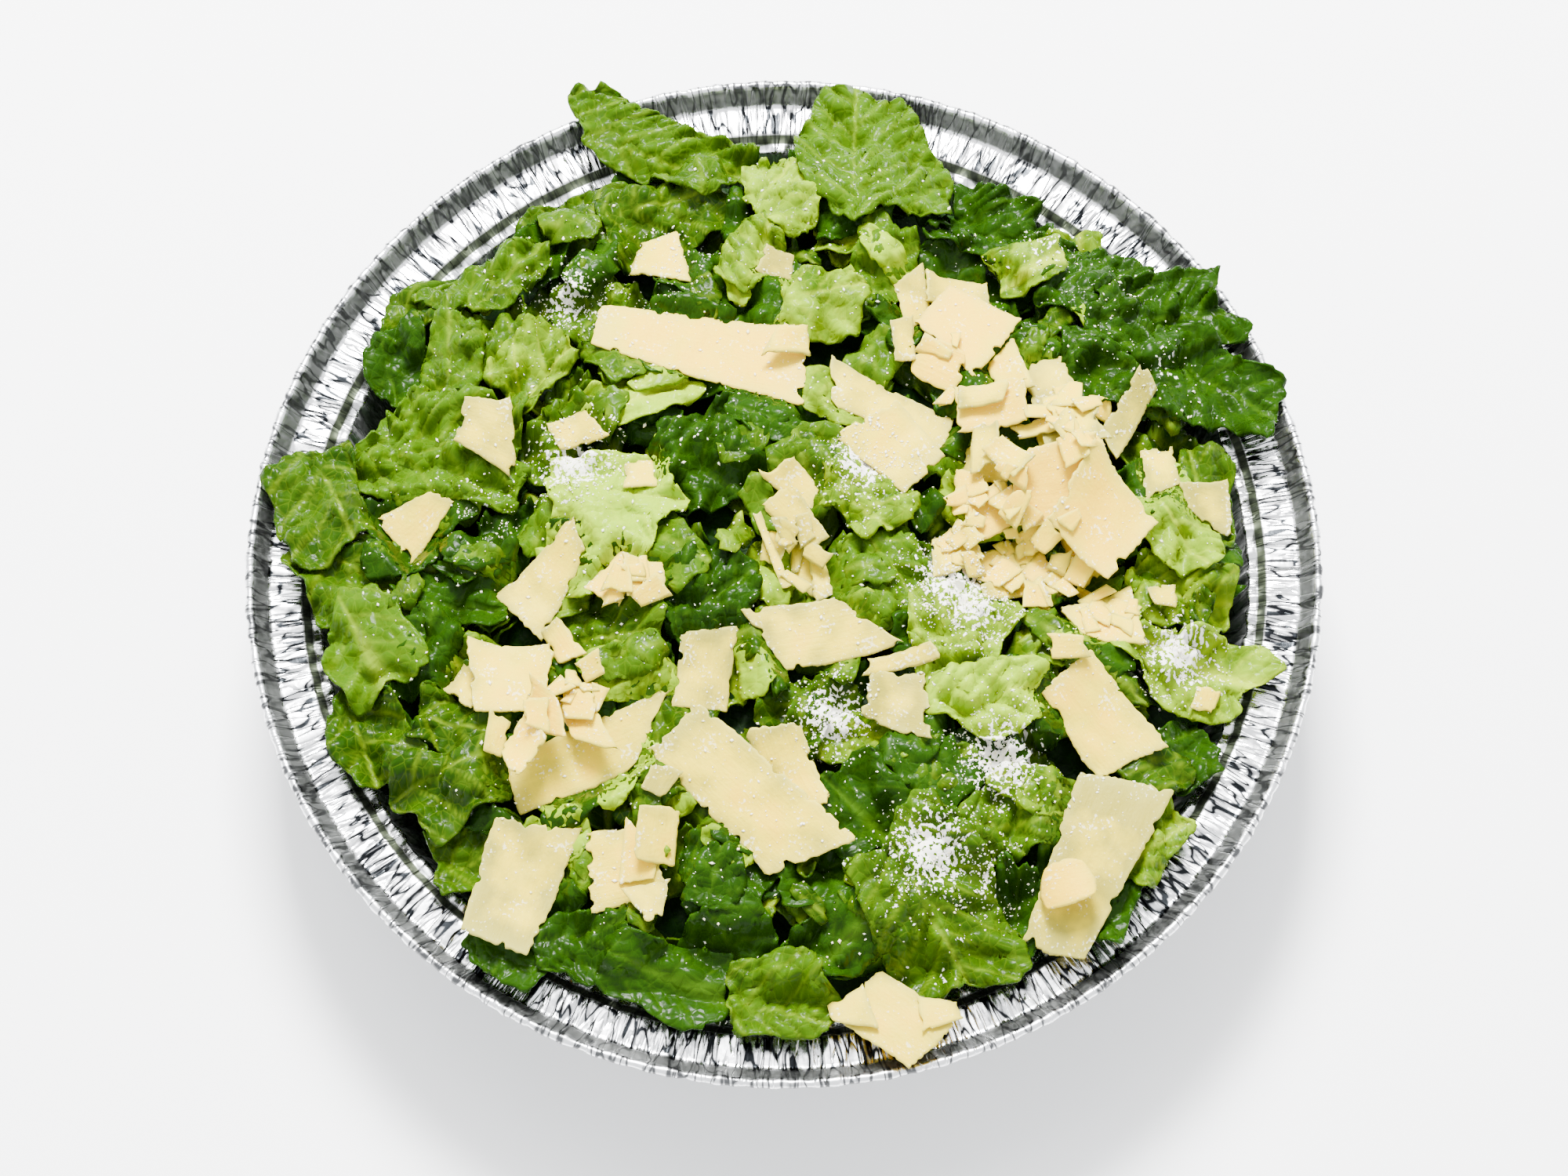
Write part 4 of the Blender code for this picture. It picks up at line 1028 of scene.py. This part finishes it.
class SALAD_OT_shavings(bpy.types.Operator):
    """Draws each parmesan shaving at full detail where the CAD has it"""

    bl_idname = "salad.shavings"
    bl_label = "Parmesan shavings"

    def execute(self, context):
        grown = Growing()
        for index, shaving in enumerate(SHAVINGS):
            grown.add(*shaving_sheet(shaving, index, context.scene.salad_parmesan.spacing, as_packed))
        material = parmesan_material(context.scene.salad_parmesan)
        piece = grown.finish("parmesan_shavings", material, "shaving plan")
        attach(piece, "root")
        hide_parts(*(f"shaving_{shaving.name}" for shaving in SHAVINGS))
        return {"FINISHED"}


def top_at(trees, x, y):
    """The height of the uppermost surface at a place, or none."""
    hits = [tree.ray_cast(Vector((x, y, ABOVE_ALL)), Vector((0, 0, -1)))[0] for tree in trees]
    return max((hit.z for hit in hits if hit), default=None)


class SALAD_OT_chips(bpy.types.Operator):
    """Lays small broken chips of parmesan on the leaves and shavings"""

    bl_idname = "salad.chips"
    bl_label = "Parmesan chips"

    def execute(self, context):
        pieces = [made for made in bpy.data.objects if made.name.endswith("leaf_pieces")]
        pieces.append(bpy.data.objects["parmesan_shavings"])
        trees = [tree_of(made) for made in pieces]

        def laid(shaving, middle_y, dx, dy, along):
            """The height of the middle of a chip that lies on what it fell on."""
            steps = [np.unique(np.linspace(1, size - 2, 6).astype(int)) for size in dx.shape]
            spots = [(i, j) for i in steps[0] for j in steps[1]]
            found = [(dx[s], dy[s], top_at(trees, shaving.x + dx[s], middle_y + dy[s])) for s in spots]
            found = np.array([spot for spot in found if spot[2] is not None])
            if len(found) < 3:
                return np.full(dx.shape, PAN_HEIGHT)
            middle = found[:, 2].mean()
            sides = found[:, :2]
            slope = np.linalg.solve(sides.T @ sides + 4 * np.eye(2), sides.T @ (found[:, 2] - middle))
            slope = np.clip(slope, -CHIP_SLOPE, CHIP_SLOPE)
            above = float(np.max(found[:, 2] - middle - sides @ slope))
            return middle + min(above, CHIP_LIFT) + CHIP_GAP + slope[0] * dx + slope[1] * dy

        draw = random.Random(23)
        chips = list(CHIPS)
        for x, y, reach, count, tone in CHIP_PATCHES:
            for _ in range(count):
                spot = place_near(x, y, reach, 0.5, draw)
                length = draw.uniform(3.0, 8.0)
                width = length * draw.uniform(0.35, 0.9)
                turn, taper = draw.uniform(0, 360), draw.uniform(-0.5, 0.5)
                slants = draw.uniform(-25, 25), draw.uniform(-25, 25)
                shade = tone + draw.uniform(-0.2, 0.2)
                chips.append(Shaving("chip", *spot, length, width, turn, taper, *slants, shade))
        grown, material = Growing(), bpy.data.materials["Shaved aged parmesan"]
        for index, chip in enumerate(chips):
            spacing = context.scene.salad_parmesan.spacing
            grown.add(*shaving_sheet(chip, 100 + index, spacing, laid, CHIP_THICKNESS))
            if index == len(CHIPS) - 1:
                trees.append(tree_of(grown.finish("parmesan_broken_chips", material, "shaving plan")))
                grown = Growing()
        grown.finish("parmesan_small_chips", material, "shaving plan")
        for name in ("parmesan_broken_chips", "parmesan_small_chips"):
            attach(bpy.data.objects[name], "root")
        return {"FINISHED"}


class SALAD_OT_crumbs(bpy.types.Operator):
    """Drops crumbs of grated parmesan on the leaves, shavings and chips"""

    bl_idname = "salad.crumbs"
    bl_label = "Grated parmesan"

    def execute(self, context):
        largest = context.scene.salad_parmesan.crumb_size
        ends = ("leaf_pieces", "parmesan_shavings", "_chips")
        trees = [tree_of(made) for made in bpy.data.objects if made.name.endswith(ends)]
        draw = random.Random(7)
        grown = Growing()
        # A crumb has six corners, one at each end of its length, width and height
        shape = np.array([(1, 0, 0), (-1, 0, 0), (0, 1, 0), (0, -1, 0), (0, 0, 1), (0, 0, -1)], dtype=float)
        round_corners = (0, 2, 1, 3, 0)
        upper = [(a, b, 4) for a, b in zip(round_corners, round_corners[1:])]
        faces = np.array(upper + [(b, a, 5) for a, b, _ in upper])
        for x, y, reach, count in CRUMB_PATCHES:
            for _ in range(count):
                spot = place_near(x, y, reach, 0.55, draw)
                if reach < PATCH_REACH and float(waves(*spot, 6.0, 15)) < draw.uniform(-0.9, 0.5):
                    continue
                top = top_at(trees, *spot) if math.hypot(*spot) < HEAP_RADIUS + 4 else None
                if top is None:
                    continue
                # Crumbs that are strewn over the whole salad are larger than those in a patch
                spread = 0.34 if reach > PATCH_REACH else 0.26
                size = largest * (0.14 + spread * draw.random() ** 3)
                stretch = [draw.uniform(0.7, 1.7), draw.uniform(0.6, 1.0), draw.uniform(0.5, 0.8)]
                stretch = np.array(stretch) * size
                spin = draw.uniform(0, math.tau)
                cosine, sine = math.cos(spin), math.sin(spin)
                turned = shape * stretch @ np.array([[cosine, -sine, 0], [sine, cosine, 0], [0, 0, 1]])
                centre = np.array([*spot, top + stretch[2] * 0.5])
                tint = draw.random() ** 2
                grown.add(turned + centre, faces, np.full((6, 3), tint), np.zeros((6, 2)))
        piece = grown.finish("grated_parmesan", crumb_material(), "crumb plan")
        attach(piece, "root")
        return {"FINISHED"}


# The pan


def pan_line():
    """The foil's line from the base's centre to the rolled hem: radius, height, and how it is wrinkled."""
    half = FOIL / 2
    line = [(0.01, half, "base"), (40, half, "base"), (BASE_RADIUS - 6, half, "base")]
    for turn in (0, 18, 36, 54, 72):
        bend = math.radians(turn)
        radius = BASE_RADIUS + BASE_CORNER * math.sin(bend)
        line.append((radius, half + BASE_CORNER * (1 - math.cos(bend)), "corner"))
    start, end = line[-1], (SHOULDER_RADIUS, SHOULDER_HEIGHT - 0.6)
    for step in range(1, 12):
        share = step / 11
        spot = [start[i] + (end[i] - start[i]) * share for i in (0, 1)]
        line.append((*spot, "wall"))
    for beyond, below in ((0.25, 0.2), (0.8, 0.0), (2.0, 0.0)):
        line.append((SHOULDER_RADIUS + beyond, SHOULDER_HEIGHT - below, "shelf"))
    line.append((SHOULDER_RADIUS + 2.5, SHOULDER_HEIGHT + 0.15, "step"))
    line.append((LEDGE_INNER - 0.5, LEDGE_HEIGHT - 0.15, "step"))
    for step in range(8):
        line.append((LEDGE_INNER + (LEDGE_OUTER - LEDGE_INNER) * step / 7, LEDGE_HEIGHT, "ledge"))
    hem_radius, hem_height = PAN_RADIUS - HEM_RADIUS - half, PAN_HEIGHT - HEM_RADIUS - half
    first = (hem_radius - HEM_RADIUS * math.cos(math.radians(30)), hem_height + HEM_RADIUS * 0.5)
    for step in range(1, 7):
        share = step / 7
        radius = LEDGE_OUTER + (first[0] - LEDGE_OUTER) * share
        line.append((radius, LEDGE_HEIGHT + (first[1] - LEDGE_HEIGHT) * share, "flange"))
    for turn in range(30, 331, 30):
        bend = math.radians(turn)
        spot = (hem_radius - HEM_RADIUS * math.cos(bend), hem_height + HEM_RADIUS * math.sin(bend))
        line.append((*spot, "hem"))
    return line


# For each band of the pan: how deep it is wrinkled, how far painted shade and reflection darken it,
# how dark the painted shade of its closed folds is, and how much duller it is
PAN_BANDS = {
    "base": (0.0, 0.2, 0.0, 0.0),
    "corner": (0.3, 0.4, 0.2, 0.1),
    "wall": (1.0, 0.3, 0.4, 0.25),
    "shelf": (0.5, 0.0, 0.4, 0.0),
    "step": (0.7, 1.0, 0.5, 0.3),
    "ledge": (0.8, 0.0, 1.0, 0.0),
    "flange": (1.0, 0.7, 0.7, 0.2),
    "hem": (0.55, 0.0, 0.9, 0.1),
}


class SALAD_OT_pan(bpy.types.Operator):
    """Makes the foil pan with the creases and pleats of its pressing"""

    bl_idname = "salad.pan"
    bl_label = "Foil pan"

    def execute(self, context):
        settings = context.scene.salad_pan
        line = pan_line()
        angles = np.linspace(0, math.tau, POINTS_ROUND, endpoint=False)
        draw = random.Random(3)
        # Each crease by its place, slant, width and depth, where a few stand out as ridges
        folds = []
        for _ in range(settings.creases):
            place, slant = draw.uniform(0, math.tau), draw.uniform(-0.35, 0.35)
            width, depth = draw.uniform(0.35, 0.8), draw.uniform(0.25, 1.0)
            folds.append((place, slant, width, depth * draw.choice((1, 1, -0.6))))
        radii = np.array([spot[0] for spot in line])
        heights = np.array([spot[1] for spot in line])
        run, rise = np.gradient(radii), np.gradient(heights)
        length = np.hypot(run, rise)
        out = np.stack([-rise / length, run / length], -1)
        points = []
        for number, (radius, height, part) in enumerate(line):
            dent = np.zeros(POINTS_ROUND)
            if PAN_BANDS[part][0]:
                for angle, slant, width, depth in folds:
                    middle = angle + slant * (radius - RIM_MIDDLE) / max(radius, 20)
                    away = (angles - middle + math.pi) % math.tau - math.pi
                    near = np.abs(away * radius)
                    dent -= depth * np.exp(-((near / width) ** 2))
                dent *= settings.crease_depth * PAN_BANDS[part][0]
            if part in ("wall", "corner", "shelf"):
                share = (height / SHOULDER_HEIGHT) ** 0.7
                uneven = 2.4 * np.sin(angles * 7 + 1) + 1.8 * np.sin(angles * 17)
                pleat = np.sin(angles * PLEATS + uneven)
                dent += settings.pleat_depth * share * np.sign(pleat) * np.abs(pleat) ** 0.6 * 0.5
            if part in ("ledge", "flange", "step", "hem"):
                bent = 3 * np.sin(angles * 11 + number * 0.12)
                dent += 0.1 * (np.sin(angles * 150 + bent) + np.sin(angles * 61 + number * 0.1))
            far = radius + out[number, 0] * dent
            ring = np.stack([far * np.cos(angles), far * np.sin(angles), height + out[number, 1] * dent], -1)
            points.append(ring)
        grown = Growing()
        run_out = np.concatenate([[0], np.cumsum(np.hypot(np.diff(radii), np.diff(heights)))])
        plan_x, plan_y = np.meshgrid(angles * RIM_MIDDLE, run_out)
        plan = np.stack([plan_x, plan_y], -1).reshape(-1, 2)
        marks = np.repeat(np.array([PAN_BANDS[spot[2]][1:] for spot in line]), POINTS_ROUND, axis=0)
        grown.add(np.concatenate(points), ring_faces(len(line), POINTS_ROUND), marks, plan)
        piece = grown.finish("pressed_foil_pan", foil_material(settings), "foil plan")
        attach(piece, "root")
        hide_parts("foil_pan")
        return {"FINISHED"}


# The stage


def add_softbox(name, place, width, depth, power):
    """A rectangular lamp that faces the salad."""
    light = bpy.data.lights.new(name, "AREA")
    light.shape = "RECTANGLE"
    light.size = width
    light.size_y = depth
    light.energy = power
    made = bpy.data.objects.new(name, light)
    made.location = place
    facing = Vector((0, 0, 0.04)) - Vector(place)
    made.rotation_euler = facing.to_track_quat("-Z", "Y").to_euler()
    bpy.context.scene.collection.objects.link(made)
    return made


class SALAD_OT_stage(bpy.types.Operator):
    """Sets the pale floor, the soft light and the camera"""

    bl_idname = "salad.stage"
    bl_label = "Stage"

    def execute(self, context):
        settings = context.scene.salad_stage
        mesh = bpy.data.meshes.new("floor")
        mesh.from_pydata([(-4, -4, 0), (4, -4, 0), (4, 4, 0), (-4, 4, 0)], [], [(0, 1, 2, 3)])
        mesh.materials.append(card_material(settings))
        floor = bpy.data.objects.new("floor", mesh)
        context.scene.collection.objects.link(floor)
        lights = [
            add_softbox("overhead softbox", (-0.1, 0.5, 1.2), 1.0, 0.7, 14.0),
            add_softbox("key softbox", (-0.05, 0.68, 1.05), 0.36, 0.36, 88.0),
        ]
        world = bpy.data.worlds.new("studio")
        world.use_nodes = True
        background = world.node_tree.nodes["Background"]
        background.inputs["Color"].default_value = (0.95, 0.97, 1.0, 1.0)
        background.inputs["Strength"].default_value = settings.world
        context.scene.world = world
        camera = bpy.data.cameras.new("camera")
        camera.lens = settings.lens
        camera.sensor_width = 36.0
        # How wide the picture is in the middle of the pan
        shown_width = 2 * PAN_RADIUS * MM * PICTURE_SHARE
        distance = shown_width * settings.lens / camera.sensor_width
        made = bpy.data.objects.new("camera", camera)
        rise = math.radians(settings.elevation)
        centre = Vector((0, -0.0062, PAN_HEIGHT * MM))
        made.location = centre + distance * Vector((0, -math.cos(rise), math.sin(rise)))
        made.rotation_euler = (math.pi / 2 - rise, 0, 0)
        camera.clip_start = 0.01
        context.scene.collection.objects.link(made)
        context.scene.camera = made
        return {"FINISHED"}


# Each group of settings with the operators that use it
GROUPS = (
    ("salad_pan", PanSettings, (SALAD_OT_pan,)),
    ("salad_lettuce", LettuceSettings, (SALAD_OT_lettuce,)),
    ("salad_parmesan", ParmesanSettings, (SALAD_OT_shavings, SALAD_OT_chips, SALAD_OT_crumbs)),
    ("salad_stage", StageSettings, (SALAD_OT_stage,)),
)


class SALAD_PT_panel(bpy.types.Panel):
    bl_label = "Caesar salad"
    bl_idname = "SALAD_PT_panel"
    bl_space_type = "VIEW_3D"
    bl_region_type = "UI"
    bl_category = "Salad"

    def draw(self, context):
        for name, kind, operators in GROUPS:
            box = self.layout.box()
            for key in kind.__annotations__:
                box.prop(getattr(context.scene, name), key)
            for operator in operators:
                box.operator(operator.bl_idname)


def register():
    for name, kind, operators in GROUPS:
        bpy.utils.register_class(kind)
        setattr(bpy.types.Scene, name, bpy.props.PointerProperty(type=kind))
        for operator in operators:
            bpy.utils.register_class(operator)
    bpy.utils.register_class(SALAD_PT_panel)


def unregister():
    bpy.utils.unregister_class(SALAD_PT_panel)
    for name, kind, operators in reversed(GROUPS):
        for operator in operators:
            bpy.utils.unregister_class(operator)
        delattr(bpy.types.Scene, name)
        bpy.utils.unregister_class(kind)


def main():
    register()
    bpy.ops.salad.pan()
    bpy.ops.salad.shavings()
    bpy.ops.salad.lettuce()
    bpy.ops.salad.chips()
    bpy.ops.salad.crumbs()
    bpy.ops.salad.stage()


if __name__ == "__main__":
    main()
